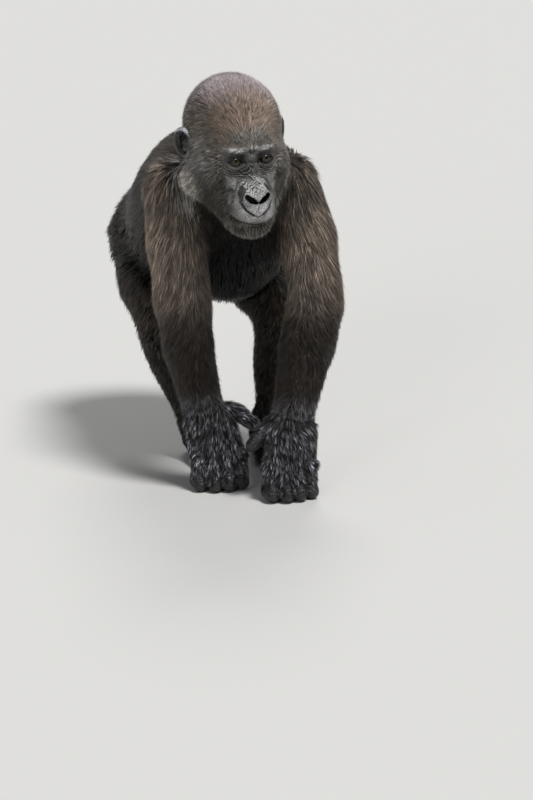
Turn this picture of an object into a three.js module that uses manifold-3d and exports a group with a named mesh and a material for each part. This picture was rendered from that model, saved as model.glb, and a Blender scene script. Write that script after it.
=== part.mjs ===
// A young western lowland gorilla standing on its knuckles and soles, as a still, life-size model.
// Millimetres, +Z up. The animal faces -Y, its left side is +X, and the floor it stands on is z = 0.
// Every outline is that of the coat: the radii below reach the tips of the hair.
import * as THREE from "three";
import { mergeVertices } from "three/addons/utils/BufferGeometryUtils.js";
import Module from "manifold-3d";

const wasm = await Module();
wasm.setup();

// ---- driving dimensions -------------------------------------------------------------------------
const GAP = 0.4; // between two neighbouring pieces
const SLIVER = 0.12; // cuts leave no edge finer than about this
const COARSE = 2; // hands and feet are simplified by up to this before they are cut
const V = (x, y, z) => new THREE.Vector3(x, y, z);

const WRIST_HEIGHT = 116;
const KNUCKLE_HEIGHT = 50; // of the finger roots
const FINGER_RADIUS = 12.5;
const FINGER_SPACING = 19.5;
const ANKLE_HEIGHT = 60;

// The head stands in a frame of its own, whose origin lies between the ears at the height of the eyes.
const head = { origin: V(-18, -147, 490), yaw: 4, nod: 7, roll: -3 };

const arms = {
  right: {
    shoulder: V(-78, -52, 412),
    middle: V(-88, -92, 340),
    elbow: V(-86, -126, 268),
    forearm: V(-84, -136, 206),
    wrist: V(-65, -148, WRIST_HEIGHT),
    knuckles: V(-45, -160, 0),
    thumb: [V(-46, -140, 120), V(-14, -140, 110), V(6, -146, 96)],
    medial: 1,
    forearmRadius: 36,
  },
  left: {
    shoulder: V(78, -58, 414),
    middle: V(98, -102, 344),
    elbow: V(97, -160, 266),
    forearm: V(79, -178, 212),
    wrist: V(46, -220, WRIST_HEIGHT),
    knuckles: V(38, -235, 0),
    thumb: [V(30, -212, 116), V(4, -216, 98), V(-15, -224, 76)],
    medial: -1,
    forearmRadius: 40,
  },
};

const legs = {
  right: {
    hip: V(-58, 178, 280),
    knee: V(-80, 22, 190),
    ankle: V(-40, 14, ANKLE_HEIGHT),
    heel: V(-21, 36, 0),
    ball: V(-26, -48, 0),
    medial: 1,
  },
  left: {
    hip: V(58, 178, 280),
    knee: V(97, 22, 190),
    ankle: V(73, 10, ANKLE_HEIGHT),
    heel: V(77, 36, 0),
    ball: V(79, -50, 0),
    medial: -1,
  },
};

// ---- distance fields ----------------------------------------------------------------------------
// Each form is a function of a point: negative inside, zero on the surface.

function ball(centre, radii) {
  const [a, b, c] = radii;
  return (p) => {
    const x = p.x - centre.x;
    const y = p.y - centre.y;
    const z = p.z - centre.z;
    const near = Math.hypot(x / a, y / b, z / c);
    const slope = Math.hypot(x / (a * a), y / (b * b), z / (c * c));
    return slope > 1e-9 ? (near * (near - 1)) / slope : -Math.min(a, b, c);
  };
}

function limb(start, startRadius, end, endRadius) {
  const along = end.clone().sub(start);
  const square = along.lengthSq();
  return (p) => {
    const x = p.x - start.x;
    const y = p.y - start.y;
    const z = p.z - start.z;
    const dot = (x * along.x + y * along.y + z * along.z) / square;
    const t = THREE.MathUtils.clamp(dot, 0, 1);
    const off = Math.hypot(x - along.x * t, y - along.y * t, z - along.z * t);
    return off - startRadius - (endRadius - startRadius) * t;
  };
}

// A chain of limbs through [point, radius] stations.
function chain(...stations) {
  return stations.slice(1).map(([end, radius], i) => limb(stations[i][0], stations[i][1], end, radius));
}

// Joins forms with a fillet about as deep as blend.
function joined(blend, ...forms) {
  return (p) => {
    let nearest = Infinity;
    for (const form of forms) {
      const other = form(p);
      const mix = Math.max(blend - Math.abs(nearest - other), 0) / blend;
      nearest = Math.min(nearest, other) - (Number.isFinite(mix) ? mix * mix * blend * 0.25 : 0);
    }
    return nearest;
  };
}

// Takes a hollow out of a form, with a rounded edge.
function hollowed(blend, form, ...hollows) {
  return (p) => {
    let depth = form(p);
    for (const hollow of hollows) {
      const other = -hollow(p);
      const mix = Math.max(blend - Math.abs(depth - other), 0) / blend;
      depth = Math.max(depth, other) + mix * mix * blend * 0.25;
    }
    return depth;
  };
}

// ---- closed surfaces ----------------------------------------------------------------------------

// The outermost point of a field along a ray from inside it, at most reach away.
function surfaceDistance(field, from, way, reach) {
  const step = 2.5;
  const at = (r) => field(from.clone().addScaledVector(way, r));
  let inside = 0;
  for (let r = step; r <= reach; r += step) {
    if (at(r) > 0) break;
    inside = r;
  }
  let outside = Math.min(inside + step, reach);
  for (let i = 0; i < 12; i += 1) {
    const middle = (inside + outside) / 2;
    if (at(middle) > 0) outside = middle;
    else inside = middle;
  }
  return inside;
}

// A capsule stretched along a spine, with each vertex drawn out to the field's surface.
// frontShare above 0 crowds the sides round the front, which is where `front` points.
function shell(field, spine, { sides, rings, caps = 3, reach = 170, front = V(0, -1, 0), frontShare = 0 }) {
  const curve = new THREE.CatmullRomCurve3(spine);
  const capsule = new THREE.CapsuleGeometry(1, 1, caps, sides, rings);
  capsule.deleteAttribute("normal");
  capsule.deleteAttribute("uv");
  const geometry = mergeVertices(capsule, 1e-4);
  const position = geometry.getAttribute("position");
  const vertex = V(0, 0, 0);
  for (let i = 0; i < position.count; i += 1) {
    vertex.fromBufferAttribute(position, i);
    const level = THREE.MathUtils.clamp(vertex.y, -0.5, 0.5);
    const tangent = curve.getTangentAt(level + 0.5);
    const side = front.clone().cross(tangent).normalize();
    const ahead = side.clone().cross(tangent);
    const turn = Math.atan2(vertex.x, vertex.z);
    const bent = turn + frontShare * Math.sin(turn);
    const round = Math.hypot(vertex.x, vertex.z);
    const way = side.multiplyScalar(round * Math.sin(bent))
      .addScaledVector(ahead, round * Math.cos(bent))
      .addScaledVector(tangent, vertex.y - level)
      .normalize();
    const from = curve.getPointAt(level + 0.5);
    const out = surfaceDistance(field, from, way, reach);
    from.addScaledVector(way, out);
    position.setXYZ(i, from.x, from.y, from.z);
  }
  return geometry;
}

function toSolid(geometry) {
  return new wasm.Manifold(
    new wasm.Mesh({
      numProp: 3,
      vertProperties: new Float32Array(geometry.getAttribute("position").array),
      triVerts: new Uint32Array(geometry.index.array),
    }),
  );
}

function toGeometry(solid) {
  const { vertProperties, triVerts } = largest(solid.simplify(SLIVER)).getMesh();
  const geometry = new THREE.BufferGeometry();
  geometry.setAttribute("position", new THREE.BufferAttribute(new Float32Array(vertProperties), 3));
  geometry.setIndex(new THREE.BufferAttribute(new Uint32Array(triVerts), 1));
  geometry.computeVertexNormals();
  return geometry;
}

// A body form as a solid, with a copy that is thicker by the gap, which cuts its neighbours.
function form(field, spine, detail) {
  return {
    solid: toSolid(shell(field, spine, detail)),
    cutter: toSolid(shell((p) => field(p) - GAP, spine, detail)),
  };
}

function largest(solid) {
  return solid.decompose().reduce((a, b) => (a.volume() > b.volume() ? a : b));
}

function cutBy(solid, ...cutters) {
  return largest(cutters.reduce((left, cutter) => left.subtract(cutter), solid));
}

// The part of a limb between two levels of its spine, parted by thin flat cuts.
function between(solid, start, end) {
  let left = solid;
  for (const [cut, sense] of [[start, 1], [end, -1]]) {
    if (!cut) continue;
    const normal = cut.way.clone().multiplyScalar(sense);
    left = left.trimByPlane([normal.x, normal.y, normal.z], normal.dot(cut.at) + GAP / 2);
  }
  return left;
}

function jointCut(before, at, after) {
  const way = at.clone().sub(before).normalize().add(after.clone().sub(at).normalize()).normalize();
  return { at, way };
}

const aboveFloor = (solid) => solid.trimByPlane([0, 0, 1], 0);

// ---- trunk --------------------------------------------------------------------------------------

function makeTrunk() {
  const field = joined(
    46,
    ball(V(0, -28, 348), [96, 98, 114]), // rib cage
    ball(V(0, 28, 384), [112, 94, 110]), // upper back
    ball(V(0, 78, 332), [119, 118, 119]), // belly
    ball(V(0, 174, 296), [104, 90, 90]), // rump
    ...chain([V(-66, -44, 414), 50], [V(0, -40, 428), 54], [V(70, -50, 416), 50]), // shoulder girdle
    ...chain([V(-62, 178, 282), 64], [V(62, 178, 282), 64]), // hips
  );
  return form(field, [V(0, -54, 376), V(0, 62, 336), V(0, 180, 298)], {
    sides: 20, rings: 10, caps: 4, front: V(0, 0, 1), reach: 190,
  });
}

// ---- head ---------------------------------------------------------------------------------------

function headMatrix() {
  const turn = new THREE.Euler(
    THREE.MathUtils.degToRad(head.nod),
    THREE.MathUtils.degToRad(head.roll),
    THREE.MathUtils.degToRad(head.yaw),
    "ZXY",
  );
  return new THREE.Matrix4().makeRotationFromEuler(turn).setPosition(head.origin);
}

const eye = { x: 22, y: -63, z: -1, radius: 10.5 };
const earCentre = { x: 76, y: 15, z: 10 };

function headField() {
  const bothSides = (make) => [make(-1), make(1)];
  const solidForms = joined(
    20,
    ball(V(0, 13, 27), [70, 80, 73]), // cranium
    ball(V(0, -30, -22), [55, 44, 50]), // face block
    ...bothSides((s) => ball(V(s * 40, -44, -16), [24, 26, 22])), // cheek bones
    ...bothSides((s) => limb(V(s * 44, 2, -42), 27, V(s * 17, -50, -86), 20)), // jaw
    ...bothSides((s) => ball(V(s * 46, -4, -28), [25, 38, 40])), // cheek fur in front of the ear
    ball(V(0, -62, -58), [36, 38, 34]), // muzzle
    ball(V(0, -64, -92), [24, 27, 21]), // chin
  );
  const face = joined(
    7,
    solidForms,
    ...bothSides((s) => limb(V(0, -69, 17), 9.5, V(s * 44, -56, 13), 10)), // brow ridge
    limb(V(0, -68, 8), 8, V(0, -82, -32), 9), // bridge of the nose
    ...bothSides((s) => ball(V(s * 12, -91, -45), [14, 13, 12])), // wings of the nose
    ball(V(0, -97, -48), [9, 8, 9]), // tip of the nose
    ball(V(0, -86, -68), [30, 17, 15]), // upper lip
    ball(V(0, -82, -86), [22, 14, 11]), // lower lip
  );
  return hollowed(
    5,
    face,
    ...bothSides((s) => ball(V(s * eye.x, -84, 0), [16.5, 15, 11])), // eye hollows
  );
}

function makeHead() {
  const spine = [V(0, -38, -72), V(0, -30, -34), V(0, -8, 14)];
  const field = headField();
  const detail = { sides: 30, rings: 15, caps: 6, frontShare: 0.5, reach: 130 };
  const made = form(field, spine, detail);
  const { elements } = headMatrix();
  return {
    solid: made.solid.transform(elements),
    cutter: made.cutter.transform(elements),
  };
}

function makeEye(side) {
  const sphere = (radius) => {
    const ballShape = new THREE.SphereGeometry(radius, 10, 7);
    ballShape.deleteAttribute("normal");
    ballShape.deleteAttribute("uv");
    const place = headMatrix().multiply(new THREE.Matrix4().makeTranslation(side * eye.x, eye.y, eye.z));
    return toSolid(mergeVertices(ballShape, 1e-4).applyMatrix4(place));
  };
  return { solid: sphere(eye.radius), cutter: sphere(eye.radius + GAP) };
}

function makeEar(side) {
  const outer = joined(
    4,
    ball(V(0, 0, 2), [5.5, 13, 20]), // the flap with its rolled edge
    ball(V(-3, -6, -13), [5, 8, 10]), // lobe
    ball(V(-6, -4, 0), [9, 9, 15]), // root
  );
  const field = hollowed(3, outer, ball(V(7.5, -3, 1), [7, 8, 12]));
  const geometry = shell(field, [V(-3, -2, -10), V(-3, 0, 12)], { sides: 11, rings: 4, caps: 2, reach: 30 });
  if (side < 0) geometry.applyMatrix4(new THREE.Matrix4().makeScale(-1, 1, 1));
  const turned = new THREE.Matrix4().makeRotationZ(side * THREE.MathUtils.degToRad(-24));
  const local = new THREE.Matrix4()
    .makeTranslation(side * earCentre.x, earCentre.y, earCentre.z)
    .multiply(turned);
  if (side < 0) {
    const index = geometry.index.array;
    for (let i = 0; i < index.length; i += 3) [index[i + 1], index[i + 2]] = [index[i + 2], index[i + 1]];
  }
  return toSolid(geometry.applyMatrix4(headMatrix().multiply(local)));
}

// ---- neck ---------------------------------------------------------------------------------------

function makeNeck() {
  const nape = V(0, 44, 6).applyMatrix4(headMatrix());
  const throat = V(0, -6, -52).applyMatrix4(headMatrix());
  const field = joined(
    34,
    limb(V(-4, -44, 410), 62, nape, 54),
    limb(V(-2, -70, 372), 58, throat, 46),
  );
  const top = nape.clone().lerp(throat, 0.45);
  return form(field, [V(-3, -60, 396), top], { sides: 12, rings: 2, caps: 2, front: V(0, 0, 1) });
}

// ---- arms ---------------------------------------------------------------------------------------

function makeArm({ shoulder, middle, elbow, forearm, wrist, knuckles, medial, forearmRadius }) {
  const elbowTuft = elbow.clone().add(V(-10 * medial, 16, -2));
  const field = joined(
    18,
    ...chain([shoulder, 52], [middle, 42], [elbow, 38], [forearm, forearmRadius], [wrist, 32]),
    ball(elbowTuft, [30, 34, 30]),
  );
  const hand = wrist.clone().lerp(knuckles, 0.4);
  const spine = [shoulder, middle, elbow, forearm, wrist];
  const whole = form(field, spine, { sides: 16, rings: 11, caps: 3, reach: 75 });
  const elbowCut = jointCut(shoulder, elbow, wrist);
  const wristCut = { at: wrist, way: hand.clone().sub(elbow).normalize() };
  return {
    upper: between(whole.solid, null, elbowCut),
    lower: between(whole.solid, elbowCut, wristCut),
    cutter: whole.cutter,
    wristCut,
  };
}

// Four metacarpals fan out from the wrist. The fingers go forward and down from them to the knuckle
// that the animal stands on, and fold back under the palm along the floor.
function makeHand({ wrist, knuckles, thumb, medial }, wristCut) {
  const across = V(medial, 0, 0);
  const fingers = [1.5, 0.5, -0.5, -1.5].map((place, i) => ({
    offset: across.clone().multiplyScalar(place * FINGER_SPACING),
    forward: [3, 8, 6, -3][i],
    radius: FINGER_RADIUS * [1, 1.04, 1, 0.9][i],
  }));
  const roots = fingers.map(({ offset }) => knuckles.clone().add(offset).add(V(0, 6, KNUCKLE_HEIGHT)));
  const palmField = joined(
    11,
    ...fingers.flatMap(({ offset, radius }, i) => {
      const carpus = wrist.clone().addScaledVector(offset, 0.62).add(V(0, 1, 8));
      return [limb(carpus, 20, roots[i], radius + 3.5)];
    }),
    ball(wrist.clone().addScaledVector(across, 8).add(V(0, 12, -34)), [22, 17, 24]), // ball of the thumb
    ball(knuckles.clone().add(V(0, 4, 30)), [FINGER_SPACING * 1.75, 15, 19]), // the closed fist
  );
  const palm = shell(palmField, [wrist.clone().add(V(0, 0, 2)), knuckles.clone().add(V(0, 6, 32))], {
    sides: 12, rings: 3, caps: 3, reach: 70,
  });
  const digits = fingers.map(({ offset, forward, radius }, i) => {
    const foot = knuckles.clone().add(offset);
    const knuckle = foot.clone().add(V(0, -9 - forward, radius - 1));
    const middleEnd = foot.clone().add(V(0, 16 - forward, radius - 2));
    const tip = foot.clone().add(V(0, 31 - forward, radius + 5));
    const stations = chain([roots[i], radius + 2], [knuckle, radius], [middleEnd, radius - 1], [tip, radius - 3]);
    return shell(joined(3, ...stations), [roots[i], knuckle, middleEnd, tip], {
      sides: 7, rings: 6, caps: 2, reach: 20, front: V(1, 0, 0),
    });
  });
  const thumbField = joined(6, ...chain([thumb[0], 15], [thumb[1], 11], [thumb[2], 8]));
  const thumbShell = shell(thumbField, thumb, { sides: 7, rings: 3, caps: 2, reach: 26 });
  const pieces = [palm, ...digits, thumbShell].map(toSolid);
  const whole = pieces.reduce((a, b) => a.add(b));
  return largest(aboveFloor(between(whole.simplify(COARSE), wristCut, null)));
}

// ---- legs ---------------------------------------------------------------------------------------

function makeLeg({ hip, knee, ankle, heel, medial }) {
  const thighMiddle = hip.clone().lerp(knee, 0.5).add(V(-3 * medial, 2, 2));
  const calf = knee.clone().lerp(ankle, 0.38).add(V(0, 7, 0));
  const field = joined(
    16,
    ...chain([hip, 66], [thighMiddle, 53], [knee, 37], [calf, 34], [ankle, 23]),
  );
  const whole = form(field, [hip, thighMiddle, knee, calf, ankle], { sides: 16, rings: 10, caps: 3, reach: 85 });
  const kneeCut = jointCut(hip, knee, ankle);
  const ankleCut = { at: ankle, way: heel.clone().sub(knee).normalize() };
  return {
    upper: between(whole.solid, null, kneeCut),
    lower: between(whole.solid, kneeCut, ankleCut),
    cutter: whole.cutter,
    ankleCut,
  };
}

function makeFoot({ ankle, heel, ball: ballPoint, medial }, ankleCut) {
  const ahead = ballPoint.clone().sub(heel).normalize();
  const inward = V(-ahead.y, ahead.x, 0).multiplyScalar(medial);
  const at = (side, forward, height) =>
    ballPoint.clone().addScaledVector(inward, side).addScaledVector(ahead, forward).add(V(0, 0, height));
  const soleField = joined(
    14,
    limb(ankle.clone().add(V(0, 0, 6)), 25, heel.clone().add(V(0, 0, 24)), 25),
    limb(ankle.clone().add(V(0, 0, -6)), 24, at(6, -4, 18), 19),
    limb(heel.clone().add(V(0, 0, 21)), 23, at(14, 0, 15), 17),
    limb(heel.clone().add(V(0, 0, 21)), 23, at(-16, -6, 14), 16),
  );
  const sole = shell(soleField, [heel.clone().add(V(0, 0, 30)), at(0, -30, 24), at(0, 0, 17)], {
    sides: 12, rings: 4, caps: 3, reach: 60,
  });
  const toes = [15, 3, -9, -20].map((side, i) => {
    const root = at(side, 0, 13);
    const middle = at(side * 1.08, [26, 28, 24, 17][i], 13.5);
    const tip = at(side * 1.06, [40, 42, 36, 27][i], 8.5);
    const radius = [9.6, 9.6, 9, 8.5][i];
    const field = joined(4, ...chain([root, radius + 1.5], [middle, radius], [tip, radius - 0.6]));
    return shell(field, [root, middle, tip], { sides: 6, rings: 2, caps: 2, reach: 18 });
  });
  const bigToe = [at(18, -42, 17), at(30, -16, 13), at(35, 6, 11.5)];
  const bigToeField = joined(5, ...chain([bigToe[0], 16], [bigToe[1], 13], [bigToe[2], 12]));
  const bigToeShell = shell(bigToeField, bigToe, { sides: 7, rings: 2, caps: 2, reach: 24 });
  const whole = [sole, ...toes, bigToeShell].map(toSolid).reduce((a, b) => a.add(b));
  return largest(aboveFloor(between(whole.simplify(COARSE), ankleCut, null)));
}

// ---- colours ------------------------------------------------------------------------------------

const coat = new THREE.MeshStandardMaterial({ color: "#2f2826", roughness: 0.75, metalness: 0 });
const bareSkin = new THREE.MeshStandardMaterial({ color: "#26262a", roughness: 0.45, metalness: 0 });
const eyeBall = new THREE.MeshStandardMaterial({ color: "#2a1a0e", roughness: 0.08, metalness: 0 });

// ---- assembly -----------------------------------------------------------------------------------

const gorilla = new THREE.Group();

function addNode(name, solid, material) {
  const mesh = new THREE.Mesh(toGeometry(solid), material);
  mesh.name = name;
  gorilla.add(mesh);
}

const trunk = makeTrunk();
const skull = makeHead();
const eyes = { right: makeEye(-1), left: makeEye(1) };
const neck = makeNeck();

addNode("trunk", cutBy(trunk.solid), coat);

const headSolid = cutBy(skull.solid, neck.cutter, trunk.cutter, eyes.right.cutter, eyes.left.cutter);
addNode("head", headSolid, coat);
for (const [name, sign] of [["right", -1], ["left", 1]]) {
  addNode(`eye_${name}`, eyes[name].solid, eyeBall);
  addNode(`ear_${name}`, cutBy(makeEar(sign), skull.cutter), bareSkin);
}

const built = {};
for (const name of ["right", "left"]) {
  built[name] = { arm: makeArm(arms[name]), leg: makeLeg(legs[name]) };
}
for (const name of ["right", "left"]) {
  const { arm, leg } = built[name];
  addNode(`upper_arm_${name}`, cutBy(arm.upper, trunk.cutter, skull.cutter), coat);
  addNode(`forearm_${name}`, arm.lower, coat);
  addNode(`hand_${name}`, makeHand(arms[name], arm.wristCut), bareSkin);
  addNode(`thigh_${name}`, cutBy(leg.upper, trunk.cutter), coat);
  addNode(`shank_${name}`, cutBy(leg.lower, trunk.cutter), coat);
  addNode(`foot_${name}`, makeFoot(legs[name], leg.ankleCut), bareSkin);
}
addNode("neck", cutBy(neck.solid, trunk.cutter, built.right.arm.cutter, built.left.arm.cutter), coat);

// The origin is the middle of the footprint, on the floor.
const extent = new THREE.Box3().setFromObject(gorilla);
const centre = extent.getCenter(V(0, 0, 0));
for (const { geometry } of gorilla.children) geometry.translate(-centre.x, -centre.y, 0);

export default gorilla;
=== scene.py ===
# Young western lowland gorilla standing on its knuckles: a still, life-size model.
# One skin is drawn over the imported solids, and a coat of solid tufts is combed over it.
import math
import bpy
import numpy as np
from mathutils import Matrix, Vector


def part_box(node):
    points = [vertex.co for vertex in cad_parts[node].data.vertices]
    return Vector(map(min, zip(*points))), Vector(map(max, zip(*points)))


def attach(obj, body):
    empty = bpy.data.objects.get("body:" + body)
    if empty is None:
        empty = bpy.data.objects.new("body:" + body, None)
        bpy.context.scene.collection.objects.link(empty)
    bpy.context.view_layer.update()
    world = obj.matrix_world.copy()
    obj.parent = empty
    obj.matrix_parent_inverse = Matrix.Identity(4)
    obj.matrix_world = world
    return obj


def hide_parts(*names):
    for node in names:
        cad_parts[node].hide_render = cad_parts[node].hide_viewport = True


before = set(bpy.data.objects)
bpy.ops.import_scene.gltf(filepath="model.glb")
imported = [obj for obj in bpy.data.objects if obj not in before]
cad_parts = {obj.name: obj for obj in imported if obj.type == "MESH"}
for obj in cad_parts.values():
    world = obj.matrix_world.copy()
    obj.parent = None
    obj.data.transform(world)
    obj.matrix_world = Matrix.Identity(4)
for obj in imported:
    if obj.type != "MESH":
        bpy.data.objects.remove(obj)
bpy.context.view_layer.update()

import openvdb
from mathutils import Matrix, Vector, kdtree

metre = 1000.0  # all shaping below is in millimetres
rng = np.random.default_rng(1853)
sides = ("right", "left")


def unit(vectors):
    return vectors / np.maximum(np.linalg.norm(vectors, axis=-1, keepdims=True), 1e-9)


def ramp(value, start, end):
    t = np.clip((value - start) / (end - start), 0, 1)
    return t * t * (3 - 2 * t)


def blurred(values, sigma):
    reach = int(math.ceil(sigma * 2.5))
    taps = np.exp(-0.5 * (np.arange(-reach, reach + 1) / sigma) ** 2)
    taps = (taps / taps.sum()).astype(np.float32)
    for axis in range(3):
        widths = [(reach, reach) if a == axis else (0, 0) for a in range(3)]
        padded = np.pad(values, widths, mode="edge")
        values = np.zeros_like(values)
        for i, tap in enumerate(taps):
            cut = [slice(None)] * 3
            cut[axis] = slice(i, i + values.shape[axis])
            values += tap * padded[tuple(cut)]
    return values


def sample(volume, points):
    # trilinear reading of a block of values at loose points
    values = volume["values"]
    size = np.array(values.shape)
    q = np.clip((points - volume["low"]) / volume["step"], 0, size - 1.001)
    i = q.astype(np.int32)
    f = (q - i).astype(np.float32)
    flat = values.ravel()
    sx, sy = int(size[1] * size[2]), int(size[2])
    at = i[:, 0] * sx + i[:, 1] * sy + i[:, 2]
    fx, fy, fz = f.T
    nearSide = (flat[at] * (1 - fz) + flat[at + 1] * fz) * (1 - fy)
    nearSide += (flat[at + sy] * (1 - fz) + flat[at + sy + 1] * fz) * fy
    farSide = (flat[at + sx] * (1 - fz) + flat[at + sx + 1] * fz) * (1 - fy)
    farSide += (flat[at + sx + sy] * (1 - fz) + flat[at + sx + sy + 1] * fz) * fy
    return nearSide * (1 - fx) + farSide * fx


def near(p, centre, radii):
    # 1 at the centre of a soft blob, fading to 0 outside its radii
    return np.exp(-((((p - np.array(centre, np.float32)) / np.array(radii, np.float32)) ** 2).sum(1)) ** 1.5)


tetraCorners = np.array([[1, 1, 1], [1, -1, -1], [-1, 1, -1], [-1, -1, 1]], np.float32)


def slopeOf(field, points, reach=0.35):
    # value and slope of a field from readings at the four corners of a small tetrahedron
    read = [field(points + corner * reach) for corner in tetraCorners]
    slope = sum(value[:, None] * corner for value, corner in zip(read, tetraCorners)) / (4 * reach)
    return sum(read) / 4, slope


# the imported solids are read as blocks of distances: negative inside, in millimetres
grid = {"step": 3.0, "pad": 4, "band": 10, "coatSoften": 1.2, "skinSoften": 4.5, "closing": 0.7}


def nodeMesh(name):
    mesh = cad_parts[name].data
    points = np.zeros(len(mesh.vertices) * 3, np.float32)
    mesh.vertices.foreach_get("co", points)
    mesh.calc_loop_triangles()
    triangles = np.zeros(len(mesh.loop_triangles) * 3, np.int32)
    mesh.loop_triangles.foreach_get("vertices", triangles)
    return points.reshape(-1, 3) * metre, triangles.reshape(-1, 3).astype(np.uint32)


def boxOf(names, step, pad):
    corners = [np.array(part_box(n)) * metre for n in names]
    low = np.floor(np.min([c[0] for c in corners], 0) / step).astype(int) - pad
    high = np.ceil(np.max([c[1] for c in corners], 0) / step).astype(int) + pad
    return low, high - low + 1


def distances(points, triangles, quads, low, shape, step, band):
    made = openvdb.FloatGrid.createLevelSetFromPolygons(
        points, triangles=triangles, quads=quads,
        transform=openvdb.createLinearTransform(voxelSize=step), halfWidth=float(band))
    values = np.empty(tuple(int(n) for n in shape), np.float32)
    made.copyToArray(values, ijk=tuple(int(n) for n in low))
    return values


def joinedSolids(names, step, pad, band, room=None):
    # the solids as one body: the thin cuts between them are closed, then distances are taken afresh
    low, shape = boxOf(room or names, step, pad)
    each = {}
    merged = None
    for name in names:
        points, triangles = nodeMesh(name)
        each[name] = distances(points, triangles, None, low, shape, step, 3)
        merged = each[name] if merged is None else np.minimum(merged, each[name])
    body = openvdb.FloatGrid(background=float(3 * step))
    body.transform = openvdb.createLinearTransform(voxelSize=step)
    body.copyFromArray(merged, ijk=tuple(int(n) for n in low))
    points, triangles, quads = body.convertToPolygons(isovalue=grid["closing"])
    values = distances(points, triangles, quads, low, shape, step, band) + grid["closing"]
    return {"low": low * step, "step": step, "values": values}, each


fleshNodes = sorted(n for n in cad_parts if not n.startswith("eye_"))
bodyNodes = [n for n in fleshNodes if n != "head" and not n.startswith("ear_")]
coatShape, nodeDistances = joinedSolids(fleshNodes, grid["step"], grid["pad"], grid["band"])
coatShape["values"] = blurred(coatShape["values"], grid["coatSoften"])
print("coat outline read from", len(fleshNodes), "solids", coatShape["values"].shape)

# how much of each node is near, as coarse soft blocks
coarse = 2
nodeShares = {}
for name, values in nodeDistances.items():
    inside = (values[::coarse, ::coarse, ::coarse] < 1.0).astype(np.float32)
    nodeShares[name] = {"low": coatShape["low"], "step": grid["step"] * coarse,
                        "values": blurred(inside, 2.0) + 1e-5 * blurred(inside, 7.0)}
del nodeDistances


def sharesAt(points):
    found = np.stack([sample(nodeShares[n], points) for n in fleshNodes], 1) + 1e-12
    return found / found.sum(1, keepdims=True)


def byNode(shares, table):
    # a value for each kind of node, mixed by how near each node is
    values = np.array([table[n] if n in table else table[n.rsplit("_", 1)[0]] for n in fleshNodes])
    return shares @ values


# how deep the coat lies over the skin of each node, in millimetres
coatDepth = {"trunk": 13, "neck": 10, "head": 8, "ear": 1.5, "upper_arm": 11.5, "forearm": 10,
             "hand": 3.2, "thigh": 12, "shank": 9, "foot": 3.0}


def depthAt(points):
    depth = byNode(sharesAt(points), coatDepth)
    return depth * ramp(points[:, 2], -6, 26)  # none where the animal stands


def gridPoints(volume):
    axes = [volume["low"][a] + volume["step"] * np.arange(n) for a, n in enumerate(volume["values"].shape)]
    return np.stack(np.meshgrid(*axes, indexing="ij"), -1).reshape(-1, 3).astype(np.float32)


def skinBlock(names, step, pad, band, soften, room=None):
    block, _ = joinedSolids(names, step, pad, band, room)
    block["values"] = blurred(block["values"], soften / step)
    thin = {"low": block["low"], "step": step * coarse,
            "values": np.zeros([n // coarse + 1 for n in block["values"].shape], np.float32)}
    thin["values"] = depthAt(gridPoints(thin)).reshape(thin["values"].shape).astype(np.float32)
    values = block["values"]
    portion = 2000000  # the block is read in portions to spare memory
    for start in range(0, values.size, portion):
        end = min(start + portion, values.size)
        where = np.stack(np.unravel_index(np.arange(start, end), values.shape), 1) * step + block["low"]
        values.ravel()[start:end] += sample(thin, where.astype(np.float32))
    return block


bodySkin = skinBlock(bodyNodes, grid["step"], grid["pad"], grid["band"], grid["skinSoften"], room=fleshNodes)

# the hands and feet are read again in finer blocks, which fade into the body's over the edge
fineGrid = {"step": 1.25, "pad": 8, "band": 12, "soften": 1.5, "edge": 6.0, "room": 8}
fineSkin = {}
for part, above in (("hand", "forearm"), ("foot", "shank")):
    for side in sides:
        name = f"{part}_{side}"
        block = skinBlock([name, f"{above}_{side}"], *(fineGrid[k] for k in ("step", "pad", "band", "soften")))
        low, high = (np.array(c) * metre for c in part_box(name))
        block["box"] = (low - fineGrid["room"], high + np.array([fineGrid["room"], fineGrid["room"], 0]))
        fineSkin[name] = block
print("skin blocks made for the body, hands and feet")

# the head is shaped in a frame of its own: x to its left, y backwards, z up, from between the ears
headShape = {"turn": (4, 7, -3), "eye": (22, -63, -1), "ear": (73, 7.5, 9.5), "earTurn": -38, "leftEarSunk": 5,
             "neckBlend": 16, "reach": 165, "freshRoom": 160, "faceReach": 150}


def rotation(axis, degrees):
    return np.array(Matrix.Rotation(math.radians(degrees), 3, axis))


yaw, nod, roll = headShape["turn"]
headAxes = rotation("Z", yaw) @ rotation("X", nod) @ rotation("Y", roll)
eyeCentres = {s: np.mean([np.array(c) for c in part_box(f"eye_{s}")], 0) * metre for s in sides}
eyeMiddle = (eyeCentres["right"] + eyeCentres["left"]) / 2
headOrigin = eyeMiddle - headAxes @ np.array([0, headShape["eye"][1], headShape["eye"][2]])


def toHead(points):
    return ((points - headOrigin) @ headAxes).astype(np.float32)


def ball(p, centre, radii):
    q = (p - np.array(centre, np.float32)) / np.array(radii, np.float32)
    away = np.linalg.norm(q, axis=1)
    slope = np.linalg.norm(q / np.array(radii, np.float32), axis=1)
    return away * (away - 1) / np.maximum(slope, 1e-6)


def limb(p, start, startRadius, end, endRadius):
    start, along = np.array(start, np.float32), np.array(end, np.float32) - np.array(start, np.float32)
    t = np.clip((p - start) @ along / (along @ along), 0, 1)
    off = np.linalg.norm(p - start - t[:, None] * along, axis=1)
    return off - (startRadius + (endRadius - startRadius) * t)


def joined(blend, *fields):
    nearest = fields[0]
    for other in fields[1:]:
        mix = np.maximum(blend - np.abs(nearest - other), 0) / blend
        nearest = np.minimum(nearest, other) - mix * mix * blend * 0.25
    return nearest


def hollowed(blend, field, hollow):
    return -joined(blend, -field, hollow)


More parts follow.
